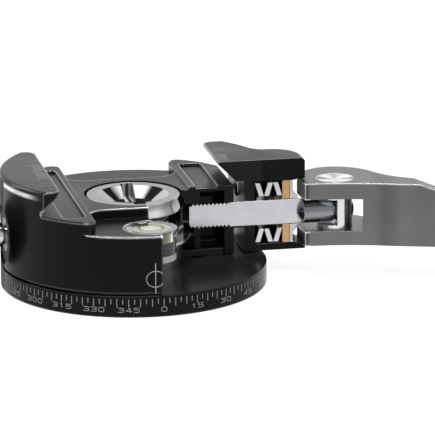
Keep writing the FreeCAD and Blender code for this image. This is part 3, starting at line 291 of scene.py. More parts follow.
def front_lips(g, where):
    """1 on the front edges of the shelf and of the deck, whose rubbed edges are made brighter there as a
    painted highlight.
    """
    shelf = g.times(g.near(where["Z"], SHELF_TOP * MM, 0.4 * MM), g.less(where["Y"], SHELF_FRONT_Y * MM))
    deck = g.times(g.near(where["Z"], DECK_TOP * MM, 0.3 * MM), g.less(where["Y"], DECK_FRONT_Y * MM))
    return g.either(shelf, deck)


def polished_crescent(g, where, radius):
    """1 on the front left of the fixed jaw's outer edge, fading out at its ends and sides: where a painted
    highlight goes.
    """
    low, high, soft = 21.4 * MM, 22.8 * MM, 0.5 * MM
    inside, outside = 25.75 * MM, 26.0 * MM
    fading_x, full_x = -20.8 * MM, -23.8 * MM
    band = g.times(g.span(where["Z"], low, low + soft), g.span(where["Z"], high, high - soft))
    ends = g.times(g.span(radius, inside, outside), g.span(where["X"], fading_x, full_x))
    return g.times(band, ends, g.less(where["Y"], 0))


def anodised(name, colour, roughness, grain, worn):
    """Black anodised aluminium: satin film, edges rubbed bright, matt where it is sawn or faced. It carries
    painted highlights on the fixed jaw's front left edge and on the front lips, and painted shade on the
    outer wall and on the pan lock's seat.
    """
    g = material(name)
    where, facing = g.where(), g.facing()
    radius = g.radius(where["X"], where["Y"])
    sawn = sawn_faces(g, where, facing)
    # Painted highlight on the fixed jaw's front left edge, added to the rubbed edges as a bright metal edge.
    painted_crescent = polished_crescent(g, where, radius)
    rubbed = g.either(handled_edges(g, where, radius, sawn), g.times(painted_crescent, 0.95))
    # Painted highlight: the rubbed edges of the front lips, and the crescent, take a brighter grey than other
    # rubbed edges.
    bare_and_painted_highlight = g.mix(g.either(front_lips(g, where), painted_crescent), grey(worn), grey(PAINTED_HIGHLIGHT_GREY))
    outer_wall = g.more(radius, OUTER_WALL_RADIUS * MM)
    lock_seat = g.times(g.less(facing["X"], -0.995), g.less(where["X"], LOCK_SEAT_X * MM))
    cloud = g.ramp(g.noise(160, 3), [(0.3, 0.86), (0.7, 1.0)])
    film = g.mix(1, g.mix(sawn, colour, SAWN_COLOUR), cloud, blend="MULTIPLY")
    # Painted shade: the outer wall is darkened towards black.
    film = g.mix(g.times(outer_wall, OUTER_WALL_PAINTED_SHADE), film, grey(0))
    # Painted shade on the pan lock's seat, which is also made matt.
    tint = g.mix(lock_seat, g.mix(rubbed, film, bare_and_painted_highlight), grey(LOCK_SEAT_PAINTED_SHADE))
    fine = g.noise(9000, 3, 0.6)
    satin = g.add(g.times(fine, 0.10 * grain), roughness - 0.05 * grain)
    rough = g.add(satin, g.times(g.either(sawn, lock_seat), 0.35), clamp=True)
    return g.principled(tint, rough, rubbed, g.relief(fine, 0.12 * grain, 0.01, ANODISED_ROUNDING),
                        Specular_IOR_Level=0.12, Anisotropic=0.6, Anisotropic_Rotation=0.25,
                        Tangent=g.tangent("Z"))


# Painted sheen along the lever, at distances from the pan axis: brown painted reflection and shade on the
# cam's nose, then painted light and dark bands along the arm.
LEVER_PAINTED_SHEEN_LENGTH = 100
LEVER_PAINTED_SHEEN = [(34.0, (0.42, 0.34, 0.28)), (34.7, (0.5, 0.42, 0.36)), (35.2, 0.96), (47.5, 0.96),
               (49.7, 0.72), (51.2, 0.8), (53.0, 1.0), (56.0, 0.92), (72.0, 0.86)]
LEVER_EDGE = rgb(214, 216, 216)
LEVER_EDGE_WIDTH = 0.42
LEVER_HANDLED_DEPTH = 2.4
LEVER_NOSE_END = 35.2


def lever_wear(g, tint):
    """The tint with painted light and dark bands along the lever, and its upper and front edges rubbed."""
    where = g.where()
    stops = [(place / LEVER_PAINTED_SHEEN_LENGTH, colour) for place, colour in LEVER_PAINTED_SHEEN]
    # Painted sheen: the bands and the brown nose are painted reflection and shade.
    sheen = g.ramp(g.math("DIVIDE", where["X"], LEVER_PAINTED_SHEEN_LENGTH * MM), stops)
    upper = g.more(where["Z"], (LEVER_TOP - LEVER_HANDLED_DEPTH) * MM)
    handled = g.either(upper, g.less(where["X"], LEVER_NOSE_END * MM))
    rubbed = g.times(handled, g.edge(LEVER_EDGE_WIDTH, 0.9, 0.66))
    return g.mix(rubbed, g.mix(1, tint, sheen, blend="MULTIPLY"), LEVER_EDGE)


# ------------------------------------------------------------------------- metals
LATHE_PITCH = 0.09


def metal(name, colour, roughness, scale=1500, depth=0.2, grain=(1, 1, 1), rounding=0.12, wear_and_painted_sheen=None):
    """Turned or drawn metal: fine tool lines in the roughness and the relief, rounded edges."""
    g = material(name)
    lines = g.noise(scale, 3, 0.6, stretch=grain)
    cloud = g.ramp(g.noise(220, 2), [(0.3, 0.9), (0.75, 1.0)])
    tint = g.mix(1, colour, cloud, blend="MULTIPLY")
    # Where given, a painted sheen and rubbed edges.
    if wear_and_painted_sheen:
        tint = wear_and_painted_sheen(g, tint)
    rough = g.add(g.times(lines, 0.16), roughness - 0.08, clamp=True)
    return g.principled(tint, rough, 1.0, g.relief(lines, depth, 0.004, rounding))


def lathe_lines(g, radius, fine, share):
    """The height of the fine rings that facing leaves, over a fine noise."""
    ring = g.math("SINE", g.times(radius, 2 * math.pi / (LATHE_PITCH * MM)))
    return g.add(g.times(ring, share), fine)


def faced_brass(name, colour, roughness):
    """Faced in a lathe about the rod's axis: fine rings, with the star-shaped sheen that they give."""
    g = material(name)
    apart = g.where((0, 0, middle("drawbar", 2)))
    fine = g.noise(4000, 2)
    height = lathe_lines(g, g.radius(apart["Y"], apart["Z"]), fine, 0.35)
    rough = g.add(g.times(fine, 0.10), roughness - 0.05, clamp=True)
    tint = g.ramp(g.noise(300, 2), [(0.3, scaled(colour, 0.92)), (0.7, colour)])
    return g.principled(tint, rough, 1.0, g.relief(height, 0.15, 0.003, 0.12),
                        Anisotropic=0.5, Tangent=g.tangent("X"))


# Painted reflections as display values: light and dark round the screw's cone and side and round the pin, and
# streaks across the screw's far slot.
CONE_PAINTED_STAR = [(-180, 180), (-54, 184), (-49, 22), (-33, 30), (-15, 240), (33, 255), (44, 36), (68, 22),
             (73, 184), (180, 180)]
SIDE_PAINTED_STAR = [(-90, 200), (60, 235), (108, 250), (128, 225), (131, 190), (133, 60), (135, 180), (145, 190),
             (158, 255), (172, 255)]
PIN_PAINTED_STAR = [(-180, 190), (-130, 235), (-108, 255), (-90, 150), (-79, 70), (-66, 120), (-45, 255), (-20, 225),
            (8, 175), (35, 215), (62, 255), (88, 230), (101, 90), (112, 150), (130, 255), (150, 235),
            (180, 190)]
SLOT_PAINTED_STREAKS = [(0.0, 0.03), (0.16, 0.04), (0.27, 0.9), (0.42, 0.5), (0.52, 0.03), (0.68, 0.06), (0.8, 0.5),
                (1.0, 0.25)]
DISH_RIM_GREY = 0.46
# Painted shade in the near slot and in the bore.
NEAR_WALL_PAINTED_SHADE = 0.05
BORE_PAINTED_SHADE = 0.06
SHANK_SHARE = 0.45


def dish_finish(name, colour):
    """The centre screw: satin faced rim, mirror cone and side, with painted reflections round the cone and
    side and across the far slot, and painted shade in the near slot and in the bore.
    """
    g = material(name)
    where = g.where()
    radius = g.radius(where["X"], where["Y"])
    turn = g.turn(where)
    margin, side_depth = 0.02, 0.6
    below_rim = g.less(where["Z"], (SCREW_TOP - margin) * MM)
    inside_side = g.less(radius, (HEAD_RADIUS - side_depth) * MM)
    in_cone = g.times(below_rim, g.less(radius, (RECESS_RADIUS + margin) * MM))
    in_side = g.times(below_rim, g.rest(inside_side))
    in_slot = g.times(below_rim, g.near(where["X"], 0, (SLOT_HALF + margin) * MM), inside_side)
    far_wall = g.times(in_slot, g.more(where["Y"], 0))
    near_wall = g.math("SUBTRACT", in_slot, far_wall)
    in_bore = g.times(g.less(radius, (BORE_RADIUS + BORE_LIP) * MM),
                      g.less(where["Z"], (SCREW_TOP - RECESS_DEPTH + margin) * MM))
    in_shank = g.less(where["Z"], (HEAD_FOOT - margin) * MM)
    across_slot = g.add(g.math("DIVIDE", where["X"], SLOT_HALF * 2 * MM), 0.5)
    # Painted reflections on the side, the cone and the far slot, and painted shade in the near slot and the
    # bore.
    tint = g.mix(in_side, grey(DISH_RIM_GREY), g.ramp(turn, star(SIDE_PAINTED_STAR)))
    tint = g.mix(in_cone, tint, g.ramp(turn, star(CONE_PAINTED_STAR)))
    tint = g.mix(far_wall, tint, g.ramp(across_slot, SLOT_PAINTED_STREAKS))
    tint = g.mix(near_wall, tint, grey(NEAR_WALL_PAINTED_SHADE))
    tint = g.mix(in_bore, tint, grey(BORE_PAINTED_SHADE))
    tint = g.mix(1, tint, g.mix(in_shank, colour, scaled(colour, SHANK_SHARE)), blend="MULTIPLY")
    fine = g.noise(4000, 2)
    satin = g.times(g.more(g.facing()["Z"], 0.97), g.rest(in_slot))
    rough = g.add(g.times(satin, 0.30), g.add(g.times(fine, 0.08), 0.10))
    shine = g.rest(g.times(g.either(in_cone, in_side, in_slot), 0.93))
    height = lathe_lines(g, radius, fine, 0.3)
    return g.principled(tint, rough, shine, g.relief(height, 0.12, 0.003, 0.14), Specular_IOR_Level=0.0)


def pin_finish(name, colour):
    """The cam pin: its faced end has a painted star of highlights and dark sectors, and the rest is plain
    ground steel.
    """
    g = material(name)
    face = g.more(g.facing()["Z"], 0.8)
    # Painted reflection: the star of light and dark on the pin's end.
    sheen = g.ramp(g.turn(g.where((LEVER_PIVOT, 0, 0))), star(PIN_PAINTED_STAR))
    tint = g.mix(1, g.mix(face, grey(1), sheen), colour, blend="MULTIPLY")
    fine = g.noise(4000, 2)
    rough = g.add(g.times(fine, 0.10), 0.13)
    return g.principled(tint, rough, g.rest(g.times(face, 0.7)), g.relief(fine, 0.1, 0.003, 0.14))


# ------------------------------------------------------- plastics, fluid and paint
def plastic(name, colour, roughness):
    """Moulded plastic with a fine grain."""
    g = material(name)
    fine = g.noise(2600, 4, 0.6)
    tint = g.ramp(g.noise(240, 3), [(0.3, scaled(colour, 0.92)), (0.7, scaled(colour, 1.08))])
    rough = g.add(g.times(fine, 0.12), roughness - 0.06, clamp=True)
    return g.principled(tint, rough, 0.0, g.relief(fine, 0.12, 0.01, 0.15), Specular_IOR_Level=0.5)


def clear(name, colour, ior, through):
    """Clear moulded acrylic or tinted fluid."""
    g = material(name)
    ripple = g.relief(g.noise(500, 2), 0.03, 0.01, 0.1)
    return g.principled(colour, 0.03, 0.0, ripple, IOR=ior, Transmission_Weight=through)


def ink(name, colour):
    """Paint laid in an engraved mark."""
    g = material(name)
    speck = g.noise(5000, 3, 0.6)
    tint = g.ramp(speck, [(0.3, scaled(colour, 0.85)), (0.6, colour)])
    return g.principled(tint, g.add(g.times(speck, 0.2), 0.6), 0.0, Specular_IOR_Level=0.1)


M = {
    "black": anodised("black_anodised_satin", rgb(22, 22, 23), roughness=0.26, grain=1.0, worn=0.28),
    "base_black": anodised("black_anodised_gloss", rgb(29, 29, 30), roughness=0.2, grain=0.6, worn=0.03),
    "lever_grey": metal("grey_anodised_satin", rgb(124, 126, 125), 0.34, scale=4000, depth=0.1, rounding=0.2,
                        wear_and_painted_sheen=lever_wear),
    "chrome_dish": dish_finish("chrome_dish_turned", rgb(248, 249, 250)),
    "chrome_plain": metal("chrome_plain", rgb(220, 222, 225), 0.14, scale=900, depth=0.05),
    "steel": metal("turned_steel", rgb(205, 208, 212), 0.24, scale=2500, depth=0.15),
    "rod": metal("turned_steel_rod", rgb(212, 214, 217), 0.22, scale=700, depth=0.25, grain=(14, 1, 1)),
    # Painted shade: the rod's round end is the same steel as the rest, made darker where it sits in the
    # lever's slot.
    "rod_round": metal("turned_steel_rod_round", rgb(150, 152, 156), 0.12, scale=700, depth=0.1),
    "pin": pin_finish("faced_steel_pin", rgb(236, 237, 240)),
    "spring": metal("spring_steel", rgb(214, 216, 218), 0.18, depth=0.1),
    "black_steel": metal("blackened_steel", rgb(30, 30, 32), 0.3),
    "brass": faced_brass("turned_brass", rgb(208, 167, 114), 0.3),
    "black_plastic": plastic("black_polymer", rgb(20, 20, 20), 0.42),
    "white_plastic": plastic("white_plastic", rgb(176, 178, 178), 0.35),
    "clear": clear("clear_acrylic", (1, 1, 1), ior=1.49, through=1.0),
    "fluid": clear("level_fluid_green", rgb(112, 127, 4), ior=1.4, through=0.1),
    "bubble": clear("level_bubble_air", rgb(214, 220, 168), ior=1.05, through=0.15),
    "mark": ink("mark_paint_grey", rgb(160, 161, 162)),
    "mark_faint": ink("mark_paint_faint", rgb(166, 167, 169)),
    "mark_white": ink("mark_paint_white", rgb(196, 197, 198)),
}

FINISH = {
    "black": ("clamp_body", "moving_jaw"),
    "base_black": ("base_disc",),
    "lever_grey": ("cam_lever",),
    "chrome_dish": ("centre_screw",),
    "chrome_plain": ("lock_screw",),
    "steel": ("hub_post", "tripod_bush", "guide_pin", "cam_washer"),
    "rod": ("drawbar",),
    "pin": ("cam_pin",),
    "spring": ("hub_circlip", "return_spring", "cam_pin_clip", "disc_spring_1", "disc_spring_2",
               "disc_spring_3"),
    "black_steel": ("hub_screws", "bearing_ring", "lock_nut", "lock_bush"),
    "brass": ("spring_washer",),
    "black_plastic": ("friction_washer", "thrust_washer", "lock_knob", "lock_cap"),
    "white_plastic": ("level_seat", "brake_plunger"),
    "clear": ("level_vial",),
    "fluid": ("level_fluid",),
    "bubble": ("level_bubble",),
}
for finish, node_names in FINISH.items():
    for node_name in node_names:
        NODES[node_name].data.materials.clear()
        NODES[node_name].data.materials.append(M[finish])


# ------------------------------------------------------------------- mesh helpers
def mesh(name, vertices, faces):
    """Mesh data from points in millimetres."""
    data = bpy.data.meshes.new(name)
    data.from_pydata([(x * MM, y * MM, z * MM) for x, y, z in vertices], [], faces)
    return data


def placed(name, data):
    """An object for the data, put into the scene."""
    made = bpy.data.objects.new(name, data)
    bpy.context.scene.collection.objects.link(made)
    return made


def piece(name, vertices, faces, finish, body, smooth=False):
    """A mesh that rides on a body, with its finish given here."""
    data = mesh(name, vertices, faces)
    data.validate()
    data.polygons.foreach_set("use_smooth", [smooth] * len(data.polygons))
    data.materials.append(M[finish])
    data.update()
    made = placed(name, data)
    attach(made, body)
    return made


def skin(rows, around, start=0, closed=False, turned=False):
    """Faces between rows of points. Each row has around points and is closed on itself.

    start is the number of the first point, closed joins the last row to the first, and turned makes the
    faces look the other way.
    """
    faces = []
    for row in range(rows if closed else rows - 1):
        here = start + row * around
        following = start + (row + 1) % rows * around
        for k in range(around):
            after = (k + 1) % around
            face = (here + k, here + after, following + after, following + k)
            faces.append((face[0], face[3], face[2], face[1]) if turned else face)
    return faces


def full_turn(count):
    """Angles evenly spaced round a circle."""
    return [2 * math.pi * k / count for k in range(count)]


# ------------------------------------------------------------------- painted marks
class Sheet:
    """Flat marks gathered as quads, later laid on a cylinder or a plane."""

    stroke_overlap = 0.42  # how far a stroke runs past its ends, as a share of its width

    def __init__(self):
        self.points = []
        self.faces = []

    def quad(self, a, b, c, d):
        start = len(self.points)
        self.points += [a, b, c, d]
        self.faces.append((start, start + 1, start + 2, start + 3))

    def bar(self, x, top, wide, tall):
        """An upright bar whose top middle is x, top."""
        left, right = x - wide / 2, x + wide / 2
        self.quad((left, top - tall), (right, top - tall), (right, top), (left, top))

    def stroke(self, points, width):
        """A line along points. Each stretch runs on a little, so that the bends close."""
        for (x0, y0), (x1, y1) in zip(points, points[1:]):
            length = math.hypot(x1 - x0, y1 - y0)
            ux, uy = (x1 - x0) / length, (y1 - y0) / length
            nx, ny = -uy * width / 2, ux * width / 2
            ex, ey = ux * width * self.stroke_overlap, uy * width * self.stroke_overlap
            self.quad((x0 - ex + nx, y0 - ey + ny), (x0 - ex - nx, y0 - ey - ny),
                      (x1 + ex - nx, y1 + ey - ny), (x1 + ex + nx, y1 + ey + ny))

    def on_rim(self):
        """The points on the rim: x is the arc from the front, -Y, towards +X, and y is the height."""
        radius = RIM_RADIUS + RIM_MARK_LIFT
        return [(radius * math.sin(x / radius), -radius * math.cos(x / radius), y) for x, y in self.points]

    def on_top(self):
        return [(x, y, BODY_TOP + TOP_MARK_LIFT) for x, y in self.points]


# Digits as strokes in a box one wide and one high, with the corners cut as on an engraved dial.
DIGITS = {
    "0": [[(.2, 0), (.8, 0), (1, .25), (1, .75), (.8, 1), (.2, 1), (0, .75), (0, .25), (.2, 0)]],
    "1": [[(.25, .78), (.55, 1), (.55, 0)]],
    "2": [[(0, .85), (.2, 1), (.8, 1), (1, .82), (1, .62), (0, 0), (1, 0)]],
    "3": [[(0, 1), (.8, 1), (1, .85), (1, .66), (.8, .52), (.3, .52)],
          [(.8, .52), (1, .36), (1, .15), (.8, 0), (0, 0)]],
    "4": [[(.75, 0), (.75, 1), (0, .3), (1, .3)]],
    "5": [[(.95, 1), (.05, 1), (.05, .56), (.8, .6), (1, .42), (1, .18), (.8, 0), (0, 0)]],
    "6": [[(.9, 1), (.3, 1), (0, .7), (0, .2), (.2, 0), (.8, 0), (1, .18), (1, .4), (.8, .58), (.05, .56)]],
    "7": [[(0, 1), (1, 1), (.35, 0)]],
    "8": [[(.2, .53), (.05, .68), (.05, .85), (.2, 1), (.8, 1), (.95, .85), (.95, .68), (.8, .53), (.2, .53),
           (0, .36), (0, .17), (.2, 0), (.8, 0), (1, .17), (1, .36), (.8, .53)]],
    "9": [[(.95, .44), (.2, .42), (0, .6), (0, .82), (.2, 1), (.8, 1), (1, .8), (1, .3), (.7, 0), (.1, 0)]],
}
DIGIT_FOOT, DIGIT_TALL, DIGIT_WIDE, DIGIT_GAP, DIGIT_STROKE = 1.08, 0.98, 1.2, 0.34, 0.135


def write(sheet, text, centre):
    """A number on the dial, its middle at the given arc."""
    x = centre - (len(text) * DIGIT_WIDE + (len(text) - 1) * DIGIT_GAP) / 2
    inner_wide, inner_tall = DIGIT_WIDE - DIGIT_STROKE, DIGIT_TALL - DIGIT_STROKE
    for letter in text:
        left, foot = x + DIGIT_STROKE / 2, DIGIT_FOOT + DIGIT_STROKE / 2
        for line in DIGITS[letter]:
            sheet.stroke([(left + u * inner_wide, foot + v * inner_tall) for u, v in line], DIGIT_STROKE)
        x += DIGIT_WIDE + DIGIT_GAP


def degree_scale():
    """The dial on the base's rim: a long line each 5 degrees, a short one between, a number each 15."""
    zero, line_step, number_step = 2.62, 2.5, 15
    line_top, line_wide, long_line, short_line = 3.74, 0.15, 1.58, 1.0
    sheet = Sheet()

    def arc(degrees):
        return math.radians(zero + degrees) * (RIM_RADIUS + RIM_MARK_LIFT)

    for step in range(round(360 / line_step)):
        sheet.bar(arc(line_step * step), line_top, line_wide, short_line if step % 2 else long_line)
    for label in range(0, 360, number_step):
        write(sheet, str(label), arc(label))
    return piece("degree_scale", sheet.on_rim(), sheet.faces, "mark", "base")


def index_mark():
    """The ring and line on the turning body that the degrees are read against, as far as the saw's cut."""
    centre_x, centre_z, half_wide, half_tall, ring_step = -0.43, 7.70, 1.79, 1.6, 8
    line_top, line_wide, line_tall, ring_stroke = 10.9, 0.14, 6.15, 0.13
    sheet = Sheet()
    turns = [math.radians(degrees) for degrees in range(0, 361, ring_step)]
    ring = [(centre_x + half_wide * math.cos(turn), centre_z + half_tall * math.sin(turn)) for turn in turns]
    for start, end in zip(ring, ring[1:]):
        if max(start[0], end[0]) < CUT_X - 0.03:
            sheet.stroke([start, end], ring_stroke)
    sheet.bar(centre_x, line_top, line_wide, line_tall)
    return piece("index_mark", sheet.on_rim(), sheet.faces, "mark_white", "clamp")


def ruler(name, body, lines, groups):
    """Cross lines on a jaw's top.

    lines are (y, x from, x to), and groups of close lines are (y from, y to, x from, x to).
    """
    close_spacing, line_wide = 0.55, 0.1
    sheet = Sheet()
    for low, high, near, far in groups:
        count = round((high - low) / close_spacing)
        lines = lines + [(low + (high - low) * k / count, near, far) for k in range(count + 1)]
    for y, near, far in lines:
        near, far = sorted((near, far))
        front, back = y - line_wide / 2, y + line_wide / 2
        sheet.quad((near, front), (far, front), (far, back), (near, back))
    return piece(name, sheet.on_top(), sheet.faces, "mark_faint", body)


def level_circle():
    """The black circle on the level's window that the bubble is read against."""
    x, y, window = middle("level_vial", 0), middle("level_vial", 1), corners("level_vial")[1][2]
    inner, outer, bevel, lift, thick, around = 2.27, 2.47, 0.04, 0.002, 0.012, 64
    section = [(inner, 0), (inner + bevel, thick), (outer - bevel, thick), (outer, 0)]
    vertices = [(x + r * math.cos(turn), y + r * math.sin(turn), window + lift + height)
                for r, height in section for turn in full_turn(around)]
    faces = skin(len(section), around, closed=True, turned=True)
    return piece("level_circle", vertices, faces, "black_plastic", "clamp")


# --------------------------------------------------------------------- turned metal
ROD_START, ROD_END = corners("drawbar")[0][0], corners("drawbar")[1][0]
ROD_HEIGHT = middle("drawbar", 2)
ROD_RADIUS = corners("drawbar")[1][2] - ROD_HEIGHT
ROD_PITCH, ROD_THREAD_DEPTH, ROD_THREAD_END = 0.8, 0.42, 19.64
ROD_LEAD, ROD_LEAD_DEPTH = 0.7, 0.35
SAW_END = 34.4  # the rod is sawn in half up to here, and whole from a dome just before
NECK_START, NECK_RADIUS = 40.8, 1.95


def rod_reach(x, turn):
    """The sawn stretch's radius: a V thread, shallower at its start, and then plain."""
    if x > ROD_THREAD_END:
        return ROD_RADIUS
    phase = ((x - ROD_START) / ROD_PITCH + turn / (2 * math.pi)) % 1.0
    lead = min(1.0, (x - ROD_START) / ROD_LEAD)
    return ROD_RADIUS - ROD_THREAD_DEPTH * abs(phase * 2 - 1) - ROD_LEAD_DEPTH * (1 - lead)


def rod_point(x, reach, turn):
    return (x, reach * math.sin(turn), ROD_HEIGHT - reach * math.cos(turn))


def drawbar_threaded():
    """The rod that the lever pulls, cut in half along its length as the body is, with its thread's teeth."""
    half_around, around, step = 25, 48, ROD_PITCH / 8
    threaded = [ROD_START + step * k for k in range(math.ceil((ROD_THREAD_END - ROD_START) / step))]
    plain = [ROD_THREAD_END, ROD_THREAD_END + 0.02, SAW_END]
    half_turns = [math.pi * k / (half_around - 1) for k in range(half_around)]
    vertices = [rod_point(x, rod_reach(x, turn), turn) for x in threaded + plain for turn in half_turns]
    faces = skin(len(threaded + plain), half_around)
    faces.append(tuple(range(half_around - 1, -1, -1)))
    dome = [(-1.15, 0.0), (-1.08, 0.6), (-0.85, 1.25), (-0.55, 1.8), (-0.28, 2.2), (-0.15, 2.42),
            (0, ROD_RADIUS)]
    shoulder = [(-1.2, ROD_RADIUS), (-0.6, 2.44), (-0.2, 2.27), (0, 2.05), (0, NECK_RADIUS)]
    nose = [(-1.1, NECK_RADIUS), (-0.6, 1.86), (-0.3, 1.62), (-0.1, 1.2), (-0.02, 0.7), (0, 0.0)]
    profile = [(SAW_END + x, reach) for x, reach in dome]
    profile += [(NECK_START + x, reach) for x, reach in shoulder]
    profile += [(ROD_END + x, reach) for x, reach in nose]
    start = len(vertices)
    vertices += [rod_point(x, reach, turn) for x, reach in profile for turn in full_turn(around)]
    faces += skin(len(profile), around, start)
    made = piece("drawbar_threaded", vertices, faces, "rod", "clamp")
    made.data.materials.append(M["rod_round"])
    for face in made.data.polygons:
        face.material_index = int(min(face.vertices) >= start)
    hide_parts("drawbar")
    return made


SCREW_PITCH, SCREW_THREAD_DEPTH, SCREW_TURNS, STEPS_A_TURN = 1.0, 0.5, 5, 8
KEY_RADIUS = 3.4


def screw_profile():
    """Radius and height of each ring, up the thread, round the head and down the recess.

    A radius of None stands for the thread.
    """
    foot = [(KEY_RADIUS, SCREW_FOOT), (SHANK_RADIUS - 0.3, SCREW_FOOT)]
    thread_start = SCREW_FOOT + 0.3
    thread = [(None, thread_start + SCREW_PITCH * k / STEPS_A_TURN)
              for k in range(SCREW_TURNS * STEPS_A_TURN + 1)]
    undercut = [(SHANK_RADIUS - 0.4, HEAD_FOOT - 0.25), (SHANK_RADIUS - 0.4, HEAD_FOOT)]
    # The waisted side, as depths in from the head's radius and heights above its foot.
    waist = [(0.225, 0), (0.06, 0.06), (0, 0.22), (0.03, 0.45), (0.24, 1.1), (0.4, 1.6), (0.45, 1.9),
             (0.4, 2.2), (0.2, 2.7), (0.1, 2.85), (0.09, 2.95), (0.13, 3.02)]
    # The rim and the recess, as radii and depths below the top.
    rim = [(HEAD_RADIUS - 0.22, 0), (RECESS_RADIUS + 0.12, 0), (RECESS_RADIUS, 0.05)]
    cone = [(6.3, 0.55), (5.4, 1.15), (4.25, 1.93), (BORE_RADIUS + BORE_LIP, RECESS_DEPTH),
            (BORE_RADIUS, RECESS_DEPTH + 0.1)]
    bore = [(BORE_RADIUS, HEAD_FOOT - 0.4), (KEY_RADIUS, HEAD_FOOT - 0.7)]
    head = [(HEAD_RADIUS - depth, HEAD_FOOT + above) for depth, above in waist]
    head += [(reach, SCREW_TOP - below) for reach, below in rim + cone]
    return foot + thread + undercut + head + bore


def thread_reach(height, turn):
    """The screw's thread: flat crests between V grooves."""
    wave = abs(2 * ((height / SCREW_PITCH + turn / (2 * math.pi)) % 1.0) - 1)
    return SHANK_RADIUS - SCREW_THREAD_DEPTH * min(1, 1.4 * wave)


def cut_slot(made, side):
    """One of the two spanner slots, on the side of +Y or of -Y."""
    outline = [(-SLOT_HALF, SLOT_NEAR), (SLOT_HALF, SLOT_NEAR), (SLOT_HALF, SLOT_FAR), (-SLOT_HALF, SLOT_FAR)]
    points = [(x, side * y, z) for z in (SLOT_FLOOR, SCREW_TOP + 0.95) for x, y in outline]
    box = [(0, 3, 2, 1), (4, 5, 6, 7), (0, 1, 5, 4), (1, 2, 6, 5), (2, 3, 7, 6), (3, 0, 4, 7)]
    if side < 0:
        box = [face[::-1] for face in box]
    cutter = placed("slot_cutter", mesh("slot_cutter", points, box))
    cut = made.modifiers.new("slot", "BOOLEAN")
    cut.operation = "DIFFERENCE"
    cut.solver = "EXACT"
    cut.object = cutter
    graph = bpy.context.evaluated_depsgraph_get()
    data = bpy.data.meshes.new_from_object(made.evaluated_get(graph))
    made.modifiers.clear()
    made.data = data
    bpy.data.objects.remove(cutter)


def centre_screw_turned():
    """The dished screw: satin rim, mirror cone, waisted side, deep spanner slots and a real thread below."""
    around = 144
    vertices = []
    profile = screw_profile()
    for radius, height in profile:
        for turn in full_turn(around):
            reach = thread_reach(height, turn) if radius is None else radius
            vertices.append((reach * math.sin(turn), reach * math.cos(turn), height))
    faces = skin(len(profile), around, closed=True, turned=True)
    made = piece("centre_screw_turned", vertices, faces, "chrome_dish", "base")
    for side in (-1, 1):
        cut_slot(made, side)
    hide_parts("centre_screw")
    return made


def spring_coil():
    """The round-wire spring beside the rod that opens the jaw, with a closed turn at each end."""
    wire, end_gap, open_turns, steps_a_turn, around = 0.2, 0.05, 7, 24, 10
    low, high = corners("return_spring")
    start, end = low[0] + end_gap + wire, high[0] - end_gap - wire
    centre_y, centre_z = middle("guide_pin", 1), middle("return_spring", 2)
    radius = high[2] - centre_z - wire
    rise = end - start - 4 * wire
    steps = (open_turns + 2) * steps_a_turn
    centres = []
    for step in range(steps + 1):
        turns = step / steps_a_turn
        opened = min(1, max(0, (turns - 1) / open_turns))
        x = start + 2 * wire * (min(1, turns) + max(0, turns - open_turns - 1)) + rise * opened
        angle = 2 * math.pi * turns
        centres.append(Vector((x, centre_y + radius * math.cos(angle), centre_z + radius * math.sin(angle))))
    vertices = []
    for step, centre in enumerate(centres):
        ahead = (centres[min(step + 1, steps)] - centres[max(step - 1, 0)]).normalized()
        out = Vector((0, centre.y - centre_y, centre.z - centre_z)).normalized()
        side = ahead.cross(out).normalized()
        out = side.cross(ahead).normalized()
        for angle in full_turn(around):
            vertices.append(tuple(centre + wire * (math.cos(angle) * out + math.sin(angle) * side)))
    faces = skin(len(centres), around)
    faces.append(tuple(range(around)))
    faces.append(tuple(range(len(vertices) - 1, len(vertices) - 1 - around, -1)))
    made = piece("return_spring_coil", vertices, faces, "spring", "clamp", smooth=True)
    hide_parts("return_spring")
    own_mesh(made)
    return made


# The rulers' lines: long ones each by itself, and close groups in place of the small lettering.
FIXED_LINES = [(11.1, -18.3, -21.2), (8.9, -17.9, -19.9), (5.7, -17.9, -20.4), (0.1, -18.7, -20.6),
               (-5.8, -19.6, -20.9), (-8.9, -17.9, -20.1), (-10.9, -17.9, -21.2)]
FIXED_GROUPS = [(0.7, 5.1, -17.9, -19.5), (-5.1, -0.6, -17.9, -19.7)]
MOVING_LINES = [(11.0, 17.8, 20.7), (9.3, 17.8, 19.9), (6.3, 17.8, 20.6), (1.2, 17.8, 20.6)]
MOVING_GROUPS = [(2.0, 5.6, 17.8, 19.9)]

degree_scale()
index_mark()
ruler("ruler_fixed_jaw", "clamp", FIXED_LINES, FIXED_GROUPS)
ruler("ruler_moving_jaw", "jaw", MOVING_LINES, MOVING_GROUPS)
drawbar_threaded()
centre_screw_turned()
level_circle()
spring_coil()


# ------------------------------------------------------------- floor, light, camera
# Brightness of the world, as shares of white: to the object's gloss it is dimmer in front and overhead.
ROOM_LEVEL = 0.6
OVERHEAD_LEVEL = 0.2
AMBIENT = 0.30
FLOOR_FRONT = 0.55
FLOOR_GLOW = 0.92
WHITE = (1, 1, 1)


def white_rays(g):
    """1 for camera, glossy and transmission rays, which see the white background; and 1 for glossy alone."""
    path = g.node("ShaderNodeLightPath").outputs
    glossy = path["Is Glossy Ray"]
    return g.either(path["Is Camera Ray"], glossy, path["Is Transmission Ray"]), glossy


def dimmed_gloss(g, glossy, level):
    """The level for glossy rays, and 1 for the others."""
    return g.add(g.times(glossy, level), g.rest(glossy))


